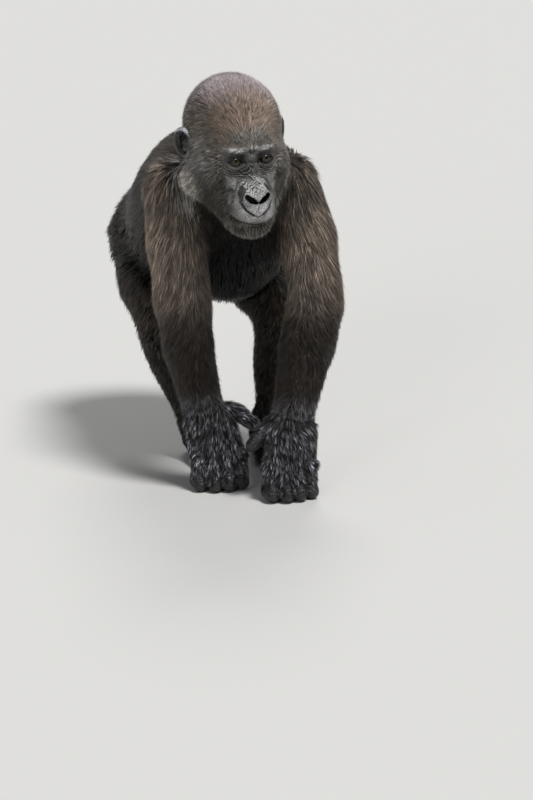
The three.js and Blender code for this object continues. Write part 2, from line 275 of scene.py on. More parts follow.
def mirrored(p):
    # folds the head's right side on its left one, for forms that are alike on both
    return np.stack([np.abs(p[:, 0]), p[:, 1], p[:, 2]], 1)


# the eye opening: an almond on the lids, as angles round the eyeball in degrees
lid = {"thick": 1.8, "eyeRadius": 10.5, "half": 62, "upper": 31, "lower": 28, "turnOut": -2, "turnUp": 12,
       "edge": 1.2, "tilt": 5, "recess": 1.4, "widest": 80, "blend": 3.5}


def eyeAngles(q):
    # q: head points with one side folded on the other; gives yaw and height round the eyeball
    d = q - np.array(headShape["eye"], np.float32)
    yawOut, pitch = math.radians(lid["turnOut"]), math.radians(lid["turnUp"])
    flat = math.cos(pitch)
    forward = np.array([math.sin(yawOut) * flat, -math.cos(yawOut) * flat, math.sin(pitch)])
    side = unit(np.cross(forward, [0, 0, 1.0]))  # towards the nose on the folded side
    up = np.cross(side, forward)
    x, y, z = -(d @ side), d @ forward, d @ up
    tilt = math.radians(lid["tilt"])
    x, z = x * math.cos(tilt) + z * math.sin(tilt), z * math.cos(tilt) - x * math.sin(tilt)
    distance = np.linalg.norm(d, axis=1)
    height = np.degrees(np.arcsin(np.clip(z / np.maximum(distance, 1e-3), -1, 1)))
    return np.degrees(np.arctan2(x, y)), height, distance


def lidEdge(across, height):
    # distance to the almond's edge in millimetres, negative in the opening
    bow = 1 - (across / lid["half"]) ** 2
    over = height - lid["upper"] * bow
    under = -height - lid["lower"] * bow
    perDegree = (lid["eyeRadius"] + lid["thick"]) * math.pi / 180
    slant = np.sqrt(1 + (2 * lid["upper"] * across / lid["half"] ** 2) ** 2)
    return np.maximum(over, under) * perDegree / slant


# each nostril is a bent teardrop as seen from the front: x, z and radius along it, and where it ends inside
nostril = {"line": ((3.2, -50.2, 2.3), (8.6, -47.0, 3.9), (14.8, -42.0, 3.0)), "floor": -88, "edge": 1.4}


def nostrilEdge(q):
    line = nostril["line"]
    return joined(1.0, *[limb(q[:, [0, 2]], a[:2], a[2], b[:2], b[2]) for a, b in zip(line[:-1], line[1:])])


# the head is built up in three rounds, each blended by so many millimetres: a form is "both" (mirrored) or
# "middle", then a ball's centre and radii, or a limb's start and radius, end and radius
headForms = {
    "skull": (22, [
        ("middle", (0, 13, 27), (64, 74, 67)),  # cranium
        ("middle", (0, -30, -20), (48, 42, 46)),  # face block
        ("both", (33, -41, -16), (21, 22, 21)),  # cheek bones
        ("both", (38, -10, -26), (24, 38, 38)),  # chewing muscles
        ("both", (38, -2, -42), 21, (15, -50, -83), 17.5),  # jaw
        ("middle", (0, -59, -60), (35.5, 37, 32.5)),  # muzzle
        ("middle", (0, -66, -90), (23, 22, 19)),  # chin
    ]),
    "face": (9, [
        ("both", (0, -57, 27), 8.0, (21, -54, 27), 7.5),  # forehead above the brow
        ("both", (21, -54, 27), 7.5, (33, -47, 23), 6.5),
        ("both", (0, -67.6, 16.2), 5.6, (12, -67.6, 18.4), 6.2),  # brow ridges
        ("both", (12, -67.6, 18.4), 6.2, (24, -65.8, 18.4), 6.2),
        ("both", (24, -65.8, 18.4), 6.2, (37, -55, 11.5), 5.0),
        ("middle", (0, -67, 8), 6.5, (0, -79, -30), 10.5),  # bridge of the nose
        ("middle", (0, -84, -72), 15.5, (0, -78, -78), 16),  # upper lip
        ("both", (11, -83, -70), (17, 15, 15)),
    ]),
    "nose": (7, [
        ("both", (11.5, -87.5, -45), (12.5, 11.5, 11.5)),  # wings
        ("middle", (0, -92, -46), (11, 9.5, 11)),  # tip
        ("middle", (0, -90, -60), (11, 8.5, 13)),  # the heart's lower point
        ("middle", (0, -76.5, -95), (20, 13.5, 10.5)),  # lower lip
    ]),
}
eyeHollow = {"centre": (22, -88, 2.0), "radii": (18.5, 19, 14.0), "blend": 3.0}


def headSkin(p):
    q = mirrored(p)
    face = []
    for blend, forms in headForms.values():
        for kind, *sizes in forms:
            shape = ball if len(sizes) == 2 else limb
            face.append(shape(q if kind == "both" else p, *sizes))
        face = [joined(blend, *face)]
    face = hollowed(eyeHollow["blend"], face[0], ball(q, eyeHollow["centre"], eyeHollow["radii"]))
    across, height, distance = eyeAngles(q)
    face = joined(lid["blend"], face, distance - lid["eyeRadius"] - lid["thick"])
    opening = np.maximum(lidEdge(across, height), lid["eyeRadius"] - lid["recess"] - distance)
    opening = np.where(np.abs(across) > lid["widest"], 20.0, opening)
    face = hollowed(lid["edge"], face, opening)
    return hollowed(nostril["edge"], face, np.maximum(nostrilEdge(q), q[:, 1] - nostril["floor"]))


# the ear in its own frame: x outwards, y backwards, z up
earShape = {"flap": ((0, 0, 2), (4.8, 15.5, 21.5)), "lobe": ((-2.4, -6, -15), (4.4, 7.5, 9.5)),
            "root": ((-12, -2, 0), (13, 9, 14)), "bowl": ((6.2, -2.2, 1.5), (7.8, 11.2, 17.6)),
            "deep": ((-0.5, -4, -3), (9.0, 6.4, 10.5)), "tragus": ((1.8, -10, -3.5), (3.0, 3.0, 4.6)),
            "ridge": (((3.0, 5.0, 12), 1.8, (3.0, 2.4, -8), 2.2), ((3.0, 5.0, 12), 1.8, (2.4, -4, 13), 1.5)),
            "reach": 42}


def earPlace(p):
    # head points as seen from the ear's middle; the left ear lies deeper in the hair
    q = mirrored(p) - np.array(headShape["ear"], np.float32)
    q[:, 0] += np.where(p[:, 0] > 0, headShape["leftEarSunk"], 0)
    return q


def earSkin(e):
    side = math.radians(headShape["earTurn"])
    x = e[:, 0] * math.cos(side) + e[:, 1] * math.sin(side)
    y = -e[:, 0] * math.sin(side) + e[:, 1] * math.cos(side)
    e = np.stack([x, y, e[:, 2]], 1).astype(np.float32)
    ear = joined(4, *[ball(e, *earShape[k]) for k in ("flap", "lobe", "root")])
    ear = hollowed(2.0, ear, ball(e, *earShape["bowl"]))
    ridge = joined(1.5, *[limb(e, *part) for part in earShape["ridge"]])
    ear = joined(1.6, ear, ridge, ball(e, *earShape["tragus"]))
    return hollowed(1.5, ear, ball(e, *earShape["deep"]))


# the fingers stand on their middle joints; places are from a corner of each hand's box
handShape = {
    "right": {"corner": (0, 54.35, 29.5), "inward": 1,
              "thumb": ((-1, 20, 114), (29, 20, 106), (49, 14, 91))},
    "left": {"corner": (1, -45.55, 29.5), "inward": -1,
             "thumb": ((-10, 22, 112), (-34, 18, 96), (-52, 11, 79))},
}
finger = {"places": (1.5, 0.5, -0.5, -1.5), "spacing": 19.5, "forward": (3, 8, 6, -3),
          "size": (1.0, 1.04, 1.0, 0.9), "knuckle": (11.2, 12.4, 12.0), "bone": 8.2, "root": 11.3, "blend": 2.0,
          "thumb": (12, 9.8, 9.4), "folded": 27, "foldedBone": 7.4, "gap": (3.4, 4.6),
          "foldRadius": 12.5}


def knuckleSpot(side):
    low, high = (np.array(c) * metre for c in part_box(f"hand_{side}"))
    corner, ahead, back = handShape[side]["corner"]
    return np.array([(low, high)[corner][0] + ahead, low[1] + back, 0])


def fingerSpots(side):
    # root, and middle joint, of each finger, from the thumb outwards
    spot = knuckleSpot(side)
    spots = []
    for place, forward, size in zip(finger["places"], finger["forward"], finger["size"]):
        x = spot[0] + handShape[side]["inward"] * place * finger["spacing"]
        spots.append(((x, spot[1] + 1.5, 49), (x, spot[1] - 8.5 - forward, 12.4 * size), size))
    return spots


def handForms(points, side):
    digits = []
    gaps = []
    spots = fingerSpots(side)
    for root, knuckle, size in spots:
        digits.append(joined(
            4,
            ball(points, root, [finger["root"] * size] * 3),
            limb(points, root, finger["bone"] * size, knuckle, finger["bone"] * size),
            ball(points, knuckle, np.array(finger["knuckle"]) * size),
            limb(points, knuckle, finger["bone"] * size, (knuckle[0], knuckle[1] + finger["folded"], 9.0),
                 finger["foldedBone"] * size),
        ))
    for (root, knuckle, _), (nextRoot, nextKnuckle, _) in zip(spots[:-1], spots[1:]):
        top = (np.array(root) + nextRoot) / 2 + [0, -14.5, -3]
        foot = (np.array(knuckle) + nextKnuckle) / 2 + [0, -12.5, 1]
        gaps.append(limb(points, top, finger["gap"][0], foot, finger["gap"][1]))
    base, bend, tip = (knuckleSpot(side) + place for place in handShape[side]["thumb"])
    first, second, third = finger["thumb"]
    thumb = joined(2, limb(points, base, first, bend, second), limb(points, bend, second, tip, third))
    return joined(finger["blend"], *digits, thumb), joined(1.0, *gaps)


def headField(points):
    p = toHead(points)
    head = headSkin(p)
    ear = earPlace(p)
    close = np.linalg.norm(ear, axis=1) < earShape["reach"]
    if close.any():
        head[close] = joined(3.0, head[close], earSkin(ear[close]))
    return head


def skinField(points):
    points = points.astype(np.float32)
    found = sample(bodySkin, points)
    for name, block in fineSkin.items():
        low, high = block["box"]
        inside = np.minimum(points - low, high - points).min(1)
        close = inside > 0
        if close.any():
            share = ramp(inside[close], 0, fineGrid["edge"])
            fine = sample(block, points[close])
            if name.startswith("hand"):
                forms, gaps = handForms(points[close], name.split("_")[1])
                fine = hollowed(2.5, joined(3, fine, forms), gaps)
                fine = np.maximum(fine, 0.4 - points[close][:, 2])  # flat where it stands
            found[close] = found[close] * (1 - share) + fine * share
    close = np.linalg.norm(points - headOrigin.astype(np.float32), axis=1) < headShape["reach"]
    if close.any():
        found[close] = joined(headShape["neckBlend"], found[close], headField(points[close]))
    return found


# a first skin from the blocks, then finer faces where the form asks for them
skinMesh = {"face": 0.88, "ear": 1.15, "head": 2.7, "hand": 1.6, "body": 4.6, "spare": 1.33, "step": 1.5}


def firstSkin():
    values, step = bodySkin["values"].copy(), bodySkin["step"]
    axes = [bodySkin["low"][a] + step * np.arange(n) for a, n in enumerate(values.shape)]
    rooms = [(headOrigin - headShape["freshRoom"], headOrigin + headShape["freshRoom"])]
    rooms += [fineSkin[f"hand_{s}"]["box"] for s in sides]
    for low, high in rooms:
        inside = [(axes[a] > low[a]) & (axes[a] < high[a]) for a in range(3)]
        picks = np.ix_(*[np.nonzero(n)[0] for n in inside])
        spots = np.stack(np.meshgrid(*[axes[a][inside[a]] for a in range(3)], indexing="ij"), -1)
        fresh = skinField(spots.reshape(-1, 3).astype(np.float32))
        values[picks] = fresh.reshape(spots.shape[:3])
    body = openvdb.FloatGrid(background=float(values.max()))
    body.transform = openvdb.createLinearTransform(voxelSize=step)
    body.copyFromArray(np.ascontiguousarray(values), ijk=tuple(int(round(n / step)) for n in bodySkin["low"]))
    points, quads = body.convertToQuads(isovalue=0.0)
    triangles = np.concatenate([quads[:, [0, 1, 2]], quads[:, [0, 2, 3]]]).astype(np.int64)
    a, b, c = (points[triangles[:, i]] for i in range(3))
    if np.einsum("ij,ij->i", a, np.cross(b, c)).sum() < 0:
        triangles = triangles[:, ::-1]
    return points.astype(np.float32), triangles


def edgesOf(triangles):
    pairs = np.concatenate([triangles[:, [0, 1]], triangles[:, [1, 2]], triangles[:, [2, 0]]])
    keys = np.sort(pairs, 1)
    unique, where = np.unique(keys[:, 0] * (1 << 32) + keys[:, 1], return_inverse=True)
    ends = np.stack([unique >> 32, unique & 0xFFFFFFFF], 1)
    return ends, where.reshape(3, -1).T


def split(points, triangles, wanted):
    ends, sideOf = edgesOf(triangles)
    middle = (points[ends[:, 0]] + points[ends[:, 1]]) / 2
    length = np.linalg.norm(points[ends[:, 0]] - points[ends[:, 1]], axis=1)
    cut = length > wanted(middle)
    number = np.full(len(ends), -1, np.int64)
    number[cut] = len(points) + np.arange(cut.sum())
    points = np.concatenate([points, middle[cut]])
    marks = cut[sideOf]
    count = marks.sum(1)
    made = [triangles[count == 0]]
    for want in (1, 2, 3):
        rows = np.nonzero(count == want)[0]
        if not len(rows):
            continue
        tri, mid, mark = triangles[rows], number[sideOf[rows]], marks[rows]
        # turn each triangle so that its first side is cut, and its last is not when two are
        first = (np.argmin(mark, 1) + 1) % 3 if want == 2 else np.argmax(mark, 1)
        order = (first[:, None] + np.arange(3)) % 3
        a, b, c = np.take_along_axis(tri, order, 1).T
        m0, m1, m2 = np.take_along_axis(mid, order, 1).T
        if want == 1:
            parts = [(a, m0, c), (m0, b, c)]
        elif want == 2:
            parts = [(m0, b, m1), (a, m0, m1), (a, m1, c)]
        else:
            parts = [(a, m0, m2), (m0, b, m1), (m2, m1, c), (m0, m1, m2)]
        made += [np.stack(part, 1) for part in parts]
    return points, np.concatenate(made), int(cut.sum())


def settled(points, triangles, rounds, ease, which=None):
    # evens the mesh along the surface and puts it back on the skin's form
    ends, _ = edgesOf(triangles)
    count = np.bincount(ends.ravel(), minlength=len(points)).astype(np.float32)
    which = np.arange(len(points)) if which is None else np.nonzero(which)[0]
    for _ in range(rounds):
        total = np.zeros_like(points)
        for axis in range(3):
            total[:, axis] = np.bincount(ends[:, 0], points[ends[:, 1], axis], len(points))
            total[:, axis] += np.bincount(ends[:, 1], points[ends[:, 0], axis], len(points))
        pull = (total / count[:, None] - points)[which]
        value, slope = slopeOf(skinField, points[which])
        normal = unit(slope)
        pull -= normal * np.einsum("ij,ij->i", pull, normal)[:, None]
        steep = np.maximum(np.einsum("ij,ij->i", slope, slope), 0.2)
        step = np.clip(value / steep, -skinMesh["step"], skinMesh["step"])
        points[which] += ease * pull - slope * step[:, None]
    return points


def wantedEdge(points):
    p = toHead(points)
    length = np.full(len(points), skinMesh["body"], np.float32)
    away = np.linalg.norm(p - np.array([0, -10, -10], np.float32), axis=1)
    length = np.where(away < 125, skinMesh["head"], length)
    bareFace = ramp(-p[:, 1], 42, 54) * ramp(-np.abs(p[:, 0]), -52, -44)
    bareFace = bareFace * ramp(p[:, 2], -108, -98) * ramp(-p[:, 2], -36, -28)
    length = length + (skinMesh["face"] - length) * bareFace * (away < 140)
    length = np.where(np.linalg.norm(earPlace(p), axis=1) < 26, skinMesh["ear"], length)
    for block in fineSkin.values():
        low, high = block["box"]
        inside = np.minimum(points - low, high - points).min(1)
        length = np.where(inside > 6, np.minimum(length, skinMesh["hand"]), length)
    return length * skinMesh["spare"]  # an edge is cut when it is so many times too long


points, triangles = firstSkin()
points = settled(points, triangles, 1, 0.5)
for _ in range(3):
    fresh = len(points)
    points, triangles, cuts = split(points, triangles, wantedEdge)
    if not cuts:
        break
    close = wantedEdge(points) < skinMesh["body"] * 1.3
    points = settled(points, triangles, 1, 0.6, close)
points = settled(points, triangles, 1, 0.5, close)
print("skin has", len(points), "points and", len(triangles), "faces")


# folds: lines pressed into the skin, as x and z on the head's front, with their width and depth
folds = {
    "mouth": ([(-31, -75), (-26.5, -77.8), (-14, -81.8), (-1, -84.6), (10, -84.4), (19, -81.5), (28, -76.5)],
              1.5, 3.0),
    "wingRight": ([(-17, -33), (-22.5, -41), (-22.5, -51), (-16, -62), (-8, -68)], 1.6, 2.6),
    "wingLeft": ([(17, -33), (23.5, -41), (24, -51), (18, -61), (8, -68)], 1.6, 2.6),
    "cheekRight": ([(-20, -27), (-28, -42), (-32, -58), (-33, -72)], 2.2, 1.1),
    "cheekLeft": ([(20, -27), (28, -42), (32, -58), (33, -72)], 2.2, 1.1),
    "padPoint": ([(-7, -68), (-0.5, -72), (7, -68)], 1.5, 1.2),
    "lipMiddle": ([(0, -55), (0, -66)], 1.2, 0.9),
    "cheekPit": ([(-36.5, -41.5), (-30.5, -37.5)], 2.6, 1.6),
    "browMiddle": ([(-2.5, 26), (-1.5, 12)], 1.3, 1.6),
    "browMiddle2": ([(3.5, 25), (2.5, 12)], 1.3, 1.2),
}
# creases repeat at a spacing, and are so deep
creases = {"underEye": (3.2, 2.1), "nose": (4.2, 1.9), "lips": (2.9, 0.14), "pebbles": (3.3, 0.5),
           "knuckle": (3.3, 0.42)}


def distanceTo(line, p):
    line = np.array(line, np.float32)
    return np.min([limb(p, a, 0.0, b, 0.0) for a, b in zip(line[:-1], line[1:])], 0)


def faceFolds(p):
    # how far the skin sinks at head points, in millimetres
    sink = np.zeros(len(p), np.float32)
    front = p[:, [0, 2]]
    facing = ramp(-p[:, 1], 48, 58)
    for line, width, depth in folds.values():
        sink += depth * facing * np.exp(-(distanceTo(line, front) / width) ** 2)
    q = mirrored(p)
    across, height, distance = eyeAngles(q)
    edge = lidEdge(across, height)
    eyeX, _, eyeZ = headShape["eye"]
    around = limb(q[:, [0, 2]], (eyeX - 4.5, eyeZ - 0.6), 6.0, (eyeX + 5, eyeZ + 0.6), 6.0)
    below = ramp(eyeZ - q[:, 2], -1, 5) * ramp(-around, -17, -11) * ramp(around, 1.4, 2.6) * facing
    spacing, depth = creases["underEye"]
    wander = 0.5 * np.sin(p[:, 0] * 0.33 + 1.1 * np.sin(p[:, 2] * 0.27))
    sink += depth * below * (0.5 - 0.5 * np.cos(2 * math.pi * (around + wander - 1.6) / spacing)) ** 1.6
    sink += ramp(height, 4, 16) * ramp(-np.abs(across), -85, -50) * np.exp(-((edge - 3.6) / 0.9) ** 2)
    sink -= 0.45 * np.exp(-((edge - 1.3) / 0.9) ** 2) * ramp(-np.abs(across), -85, -60)  # the lids' rims
    # the bridge wrinkles in downward points, the nose's sides in upward ones
    spacing, depth = creases["nose"]
    upper = np.exp(-(p[:, 0] / 21) ** 4) * ramp(p[:, 2], -40, -34) * ramp(-p[:, 2], -9, 3)
    upper = upper * ramp(-p[:, 1], 58, 66)
    twist = 1.3 * np.sin(p[:, 2] * 0.45 + p[:, 0] * 0.2) + 1.0 * np.sin(p[:, 0] * 0.7 + p[:, 2] * 0.3)
    for lean, share in ((-0.9, ramp(p[:, 2], -28, -18)), (0.9, ramp(-p[:, 2], 14, 24))):
        wave = np.sin(2 * math.pi * (p[:, 2] + lean * np.abs(p[:, 0]) + twist) / spacing)
        sink += depth * upper * share * ramp(wave, -0.1, 1.0)
    spacing, depth = creases["lips"]
    lips = np.exp(-((p[:, 2] + 86) / 8) ** 2) * ramp(-p[:, 1], 66, 76)
    ripple = p[:, 0] + 0.9 * np.sin(p[:, 2] * 0.5) + 1.2 * np.sin(p[:, 0] * 0.4)
    sink += depth * lips * ramp(np.sin(2 * math.pi * ripple / spacing), 0.0, 1.0)
    # pebbled hide on the muzzle and cheeks
    spacing, depth = creases["pebbles"]
    a, b, c = (2 * math.pi * p / spacing).T
    pebbles = np.sin(a + 1.4 * np.sin(c * 0.37)) * np.sin(c + 1.3 * np.sin(a * 0.31 + b * 0.2))
    pebbles = pebbles * np.cos(b * 0.5)
    return sink + depth * facing * pebbles * (1 - 0.6 * near(p, (0, -97, -60), (15, 10, 12)))


def normalsOf(points, triangles):
    a, b, c = (points[triangles[:, i]] for i in range(3))
    faces = np.cross(b - a, c - a)
    total = np.zeros((len(points), 3))
    for axis in range(3):
        for corner in range(3):
            total[:, axis] += np.bincount(triangles[:, corner], faces[:, axis], len(points))
    return unit(total).astype(np.float32)


def knuckleFolds(points):
    # cross-wise wrinkles where the fingers bend
    sink = np.zeros(len(points), np.float32)
    spacing, depth = creases["knuckle"]
    for side in sides:
        for _, knuckle, size in fingerSpots(side):
            away = points - np.array(knuckle, np.float32)
            close = np.exp(-(np.linalg.norm(away * [1, 0.8, 0.8], axis=1) / (13 * size)) ** 4)
            turn = np.arctan2(away[:, 2], -away[:, 1]) * finger["foldRadius"]
            ridges = np.sin(2 * math.pi * (turn + 0.6 * np.sin(away[:, 0] * 0.6)) / spacing)
            sink += depth * close * ramp(ridges, -0.2, 1.0) * ramp(away[:, 2], -8, -2)
    return sink


normals = normalsOf(points, triangles)
headPoints = toHead(points)
onFace = (np.linalg.norm(headPoints, axis=1) < headShape["faceReach"]) & (headPoints[:, 1] < -35)
folded = np.zeros(len(points), np.float32)
folded[onFace] = faceFolds(headPoints[onFace])
onHands = points[:, 2] < 40
folded[onHands] = knuckleFolds(points[onHands])
points -= normals * folded[:, None]
normals = normalsOf(points, triangles)
print("folds pressed into the face")


def linear(hexColour):
    parts = [int(hexColour[i:i + 2], 16) / 255 for i in (1, 3, 5)]
    return np.array([p / 12.92 if p <= 0.04045 else ((p + 0.055) / 1.055) ** 2.4 for p in parts])


# the markings, worn by skin and coat alike: hair colours by node, then the head, then bare skin, with painted
# shade and painted highlights among them
hairColours = {"trunk": "#423931", "neck": "#3d3630", "head": "#6c635a", "ear": "#3a3838",
               "upper_arm": "#72675d", "forearm": "#231d18", "hand": "#5c5c61", "thigh": "#2f2923",
               "shank": "#26221e", "foot": "#2a2a2c"}
headColours = {"crown": "#84797a", "forehead": "#74665b", "temple": "#72706d", "cheek": "#32322d",
               "paleHairAndSheenBelowEar": "#b3aca5", "chin": "#24241f", "throat": "#100f0e", "overBrow": "#6b6965",
               "whiskers": "#75736c"}
flankShade, undersideHairAndShade = "#1f1a16", "#040404"
bareColours = {"face": "#7a7976", "muzzle": "#949390", "noseTopAndHighlight": "#d0cfcc", "nosePad": "#b6b4b6",
               "browHighlight": "#e2e1de", "eyeHollow": "#1a1a1d", "hand": "#232326", "lidRim": "#a09c96",
               "lidEdge": "#0e0d0e", "nostril": "#040404", "mouth": "#111112", "ear": "#131215",
               "earRimHighlight": "#c6c5cb"}
bareOutline = {"height": (-94, -89, -84, -72, -62, -50, -40, -25, -10, 10, 20, 27),
               "halfWidth": (-30, -14, 18, 31, 33, 34, 35, 36, 37, 38, 36, 33), "top": 22.8, "back": -46}


def faceEdge(p):
    # millimetres outside the outline of the bare face, negative on it
    half = np.interp(p[:, 2], bareOutline["height"], bareOutline["halfWidth"])
    half = half + 1.8 * np.sin(p[:, 2] * 0.37) * np.sin(p[:, 0] * 0.29 + 1)
    top = bareOutline["top"] + 1.2 * np.sin(p[:, 0] * 0.4)
    edge = np.max([np.abs(p[:, 0]) - half, p[:, 2] - top, p[:, 1] - bareOutline["back"]], 0)
    return np.where(np.linalg.norm(p, axis=1) < headShape["faceReach"], edge, 60.0)


def faceBareness(p):
    # 1 on the bare face, 0 in the hair
    return ramp(-faceEdge(p), -3.0, 3.5)


def shareOf(shares, *parts):
    # how much each place belongs to these parts of the body, on both sides
    nodes = [n for part in parts for n in (part, f"{part}_right", f"{part}_left") if n in fleshNodes]
    return sum(shares[:, fleshNodes.index(n)] for n in nodes)


def handBareness(points, shares):
    # knuckles, toes and soles wear down to the skin
    hands, feet = shareOf(shares, "hand"), shareOf(shares, "foot")
    ridged = 3 * np.sin(points[:, 0] * 0.33) + 2 * np.sin(points[:, 0] * 0.9 + points[:, 1] * 0.4)
    thumb = np.linalg.norm(points - (knuckleSpot("left") + handShape["left"]["thumb"][2]), axis=1)
    bare = ramp(hands, 0.4, 0.8) * np.maximum(ramp(-points[:, 2] - ridged, -33, -22), ramp(-thumb, -34, -20))
    return bare + ramp(feet, 0.4, 0.8) * ramp(-points[:, 2], -20, -9)


def earBareness(p):
    q = earPlace(p)
    away = np.linalg.norm(q / np.array([17, 22, 25], np.float32), axis=1)
    return ramp(-away, -1.12, -0.85) * ramp(q[:, 0], -9, -3)


def bareness(points, shares):
    p = toHead(points)
    onHead = shareOf(shares, "head") + shareOf(shares, "ear")
    face = faceBareness(p) * ramp(onHead, 0.2, 0.5)
    return np.clip(np.maximum(np.maximum(face, handBareness(points, shares)), earBareness(p)), 0, 1)


def blendTo(colours, share, hexColour):
    return colours + (linear(hexColour) - colours) * share[:, None]


# soft patches of colour on the head: on both sides or in the middle, with their centre and radii
patches = {
    "forehead": ("middle", (0, -60, 58), (68, 52, 37)),
    "overBrow": ("both", (12, -74, 32), (30, 16, 9)),
    "paleHairAndSheenBelowEar": ("both", (66, -4, -36), (21, 26, 22)),
    "throat": ("middle", (0, -10, -105), (60, 44, 24)),
    # the nose's top: paler skin with a painted highlight on it
    "noseTopAndHighlight": ("middle", (0, -86, -29), (23, 20, 12)),
    # the eye hollows: dark skin with painted shade under the brow
    "eyeHollow": ("both", (21, -78, 7), (21, 22, 12)),
    # a painted highlight along the top of the brow ridge
    "browHighlight": ("both", (20, -76, 19.9), (18, 14, 3.0)),
    "nosePad": ("middle", (0, -95, -55), (20, 14, 17)),
}
# painted shade along the folds, as dark lines: how wide and how strong
foldShadeLines = {"mouth": (1.5, 0.9), "wingRight": (1.5, 0.6), "wingLeft": (1.5, 0.6), "cheekPit": (3, 0.6)}


def patch(name, p):
    kind, centre, radii = patches[name]
    return near(mirrored(p) if kind == "both" else p, centre, radii)


def hairMarkingsAndPaintedLight(points, p, shares, onHead):
    # the arms pale upwards, the trunk darkens downwards in painted shade, painted shadow lies on the chest,
    # below the jaw and on the throat, and the head has its own tones, with a painted sheen on the pale hair
    # below the ears
    table = {n: linear(c) for n, c in hairColours.items()}
    kinds = [n if n in table else n.rsplit("_", 1)[0] for n in fleshNodes]
    hair = sum(shares[:, i:i + 1] * table[kind] for i, kind in enumerate(kinds))
    arms, low = shareOf(shares, "upper_arm", "forearm"), -points[:, 2]
    sleeve = ramp(low, -335, -225)[:, None]
    sleeve = table["upper_arm"] * (1 - sleeve) + table["forearm"] * sleeve
    hair += (sleeve - hair) * arms[:, None]
    hair = blendTo(hair, arms * ramp(low, -165, -100), hairColours["hand"])
    trunk = shareOf(shares, "trunk", "neck")
    # painted shade: the trunk's hair darkens downwards over the flanks
    hair = blendTo(hair, trunk * (1 - onHead) * ramp(low, -470, -400), flankShade)
    # near-black hair with painted shade on it: the lower trunk, the chest between the arms, and below the jaw
    hair = blendTo(hair, trunk * (1 - onHead) * ramp(low, -330, -260), undersideHairAndShade)
    hair = blendTo(hair, (1 - onHead) * near(points, (-12, -130, 340), (70, 75, 90)), undersideHairAndShade)
    hair = blendTo(hair, (1 - onHead) * near(p, (-46, -22, -98), (32, 42, 44)), undersideHairAndShade)
    hair = blendTo(hair, onHead * ramp(p[:, 2], 40, 85), headColours["crown"])
    temple = onHead * ramp(np.abs(p[:, 0]), 33, 50) * ramp(-p[:, 2], -60, -15)
    hair = blendTo(hair, temple, headColours["temple"])
    hair = blendTo(hair, onHead * ramp(-p[:, 2], 2, 30) * ramp(-p[:, 1], -30, 10), headColours["cheek"])
    for name in ("forehead", "overBrow"):
        hair = blendTo(hair, onHead * patch(name, p), headColours[name])
    # pale hair below the ears, with a painted sheen on it
    hair = blendTo(hair, patch("paleHairAndSheenBelowEar", p), headColours["paleHairAndSheenBelowEar"])
    hair = blendTo(hair, onHead * ramp(-p[:, 2], 78, 96) * ramp(-p[:, 1], 20, 50), headColours["chin"])
    # dark throat hair with painted shadow under the chin
    return blendTo(hair, patch("throat", p) * ramp(p[:, 1], -40, -20), headColours["throat"])


def skinMarkingsAndPaintedLight(p, onHead):
    # slate grey, paler on the muzzle and nose, with painted highlights on the nose's top, the brow ridge and
    # the ear rims; dark skin with painted shade in the eye hollows, and painted shade in the nostrils and folds
    skin = np.tile(linear(bareColours["hand"]), (len(p), 1))
    skin = blendTo(skin, ramp(onHead, 0.2, 0.6), bareColours["face"])
    onFace = ramp(onHead, 0.2, 0.6) * ramp(-faceEdge(p), 0, 13)
    skin = blendTo(skin, onFace * ramp(-p[:, 2], 24, 44) * ramp(-p[:, 1], 52, 66), bareColours["muzzle"])
    skin = blendTo(skin, onFace * ramp(-p[:, 2], 76, 84), headColours["chin"])
    skin = blendTo(skin, patch("noseTopAndHighlight", p), bareColours["noseTopAndHighlight"])
    skin = blendTo(skin, earBareness(p), bareColours["ear"])
    for name in ("eyeHollow", "browHighlight", "nosePad"):
        skin = blendTo(skin, patch(name, p), bareColours[name])
    q = mirrored(p)
    across, height, distance = eyeAngles(q)
    edge = lidEdge(across, height)
    # the lids' edges darkened: the dark lash line, with painted shade at the opening
    skin = blendTo(skin, np.exp(-((edge - 0.2) / 1.5) ** 2) * (distance < 16), bareColours["lidEdge"])
    rim = np.exp(-((edge - 2.1) / 0.8) ** 2) * ramp(-height, 0, 14) * ramp(-np.abs(across), -75, -40)
    skin = blendTo(skin, rim * (distance < 16), bareColours["lidRim"])
    ear = earPlace(p)
    # a painted highlight on the ear's rim, brightest at its top
    earRimHighlight = ramp(np.linalg.norm(ear[:, 1:] / np.array([12.5, 22]), axis=1), 0.76, 0.94)
    earRimHighlight = earRimHighlight * (0.25 + 0.75 * ramp(ear[:, 2], 6, 17))
    skin = blendTo(skin, earBareness(p) * earRimHighlight, bareColours["earRimHighlight"])
    for line, (wide, depth) in foldShadeLines.items():
        dark = np.exp(-(distanceTo(folds[line][0], p[:, [0, 2]]) / wide) ** 2) * ramp(-p[:, 1], 45, 58)
        skin = blendTo(skin, dark * depth, bareColours["mouth"])
    # painted shade: the nostrils' insides are near black
    return blendTo(skin, ramp(-nostrilEdge(q), -1.4, -0.2) * ramp(-p[:, 1], 82, 86), bareColours["nostril"])


def markingsAndPaintedLight(points, shares, bare):
    # the colours of skin and coat at each place, painted light and shade among them, blended by how bare it is
    p = toHead(points)
    onHead = ramp(-np.linalg.norm(p - np.array([0, -18, -5], np.float32), axis=1), -128, -112)
    hair = hairMarkingsAndPaintedLight(points, p, shares, onHead)
    return hair + (skinMarkingsAndPaintedLight(p, onHead) - hair) * bare[:, None]


def pointAttribute(mesh, name, values, kind="FLOAT"):
    attribute = mesh.attributes.new(name, kind, "POINT")
    if kind == "FLOAT_COLOR":
        values = np.concatenate([values, np.ones((len(values), 1))], 1)
        attribute.data.foreach_set("color", values.astype(np.float32).ravel())
    else:
        attribute.data.foreach_set("value", np.asarray(values, np.float32))


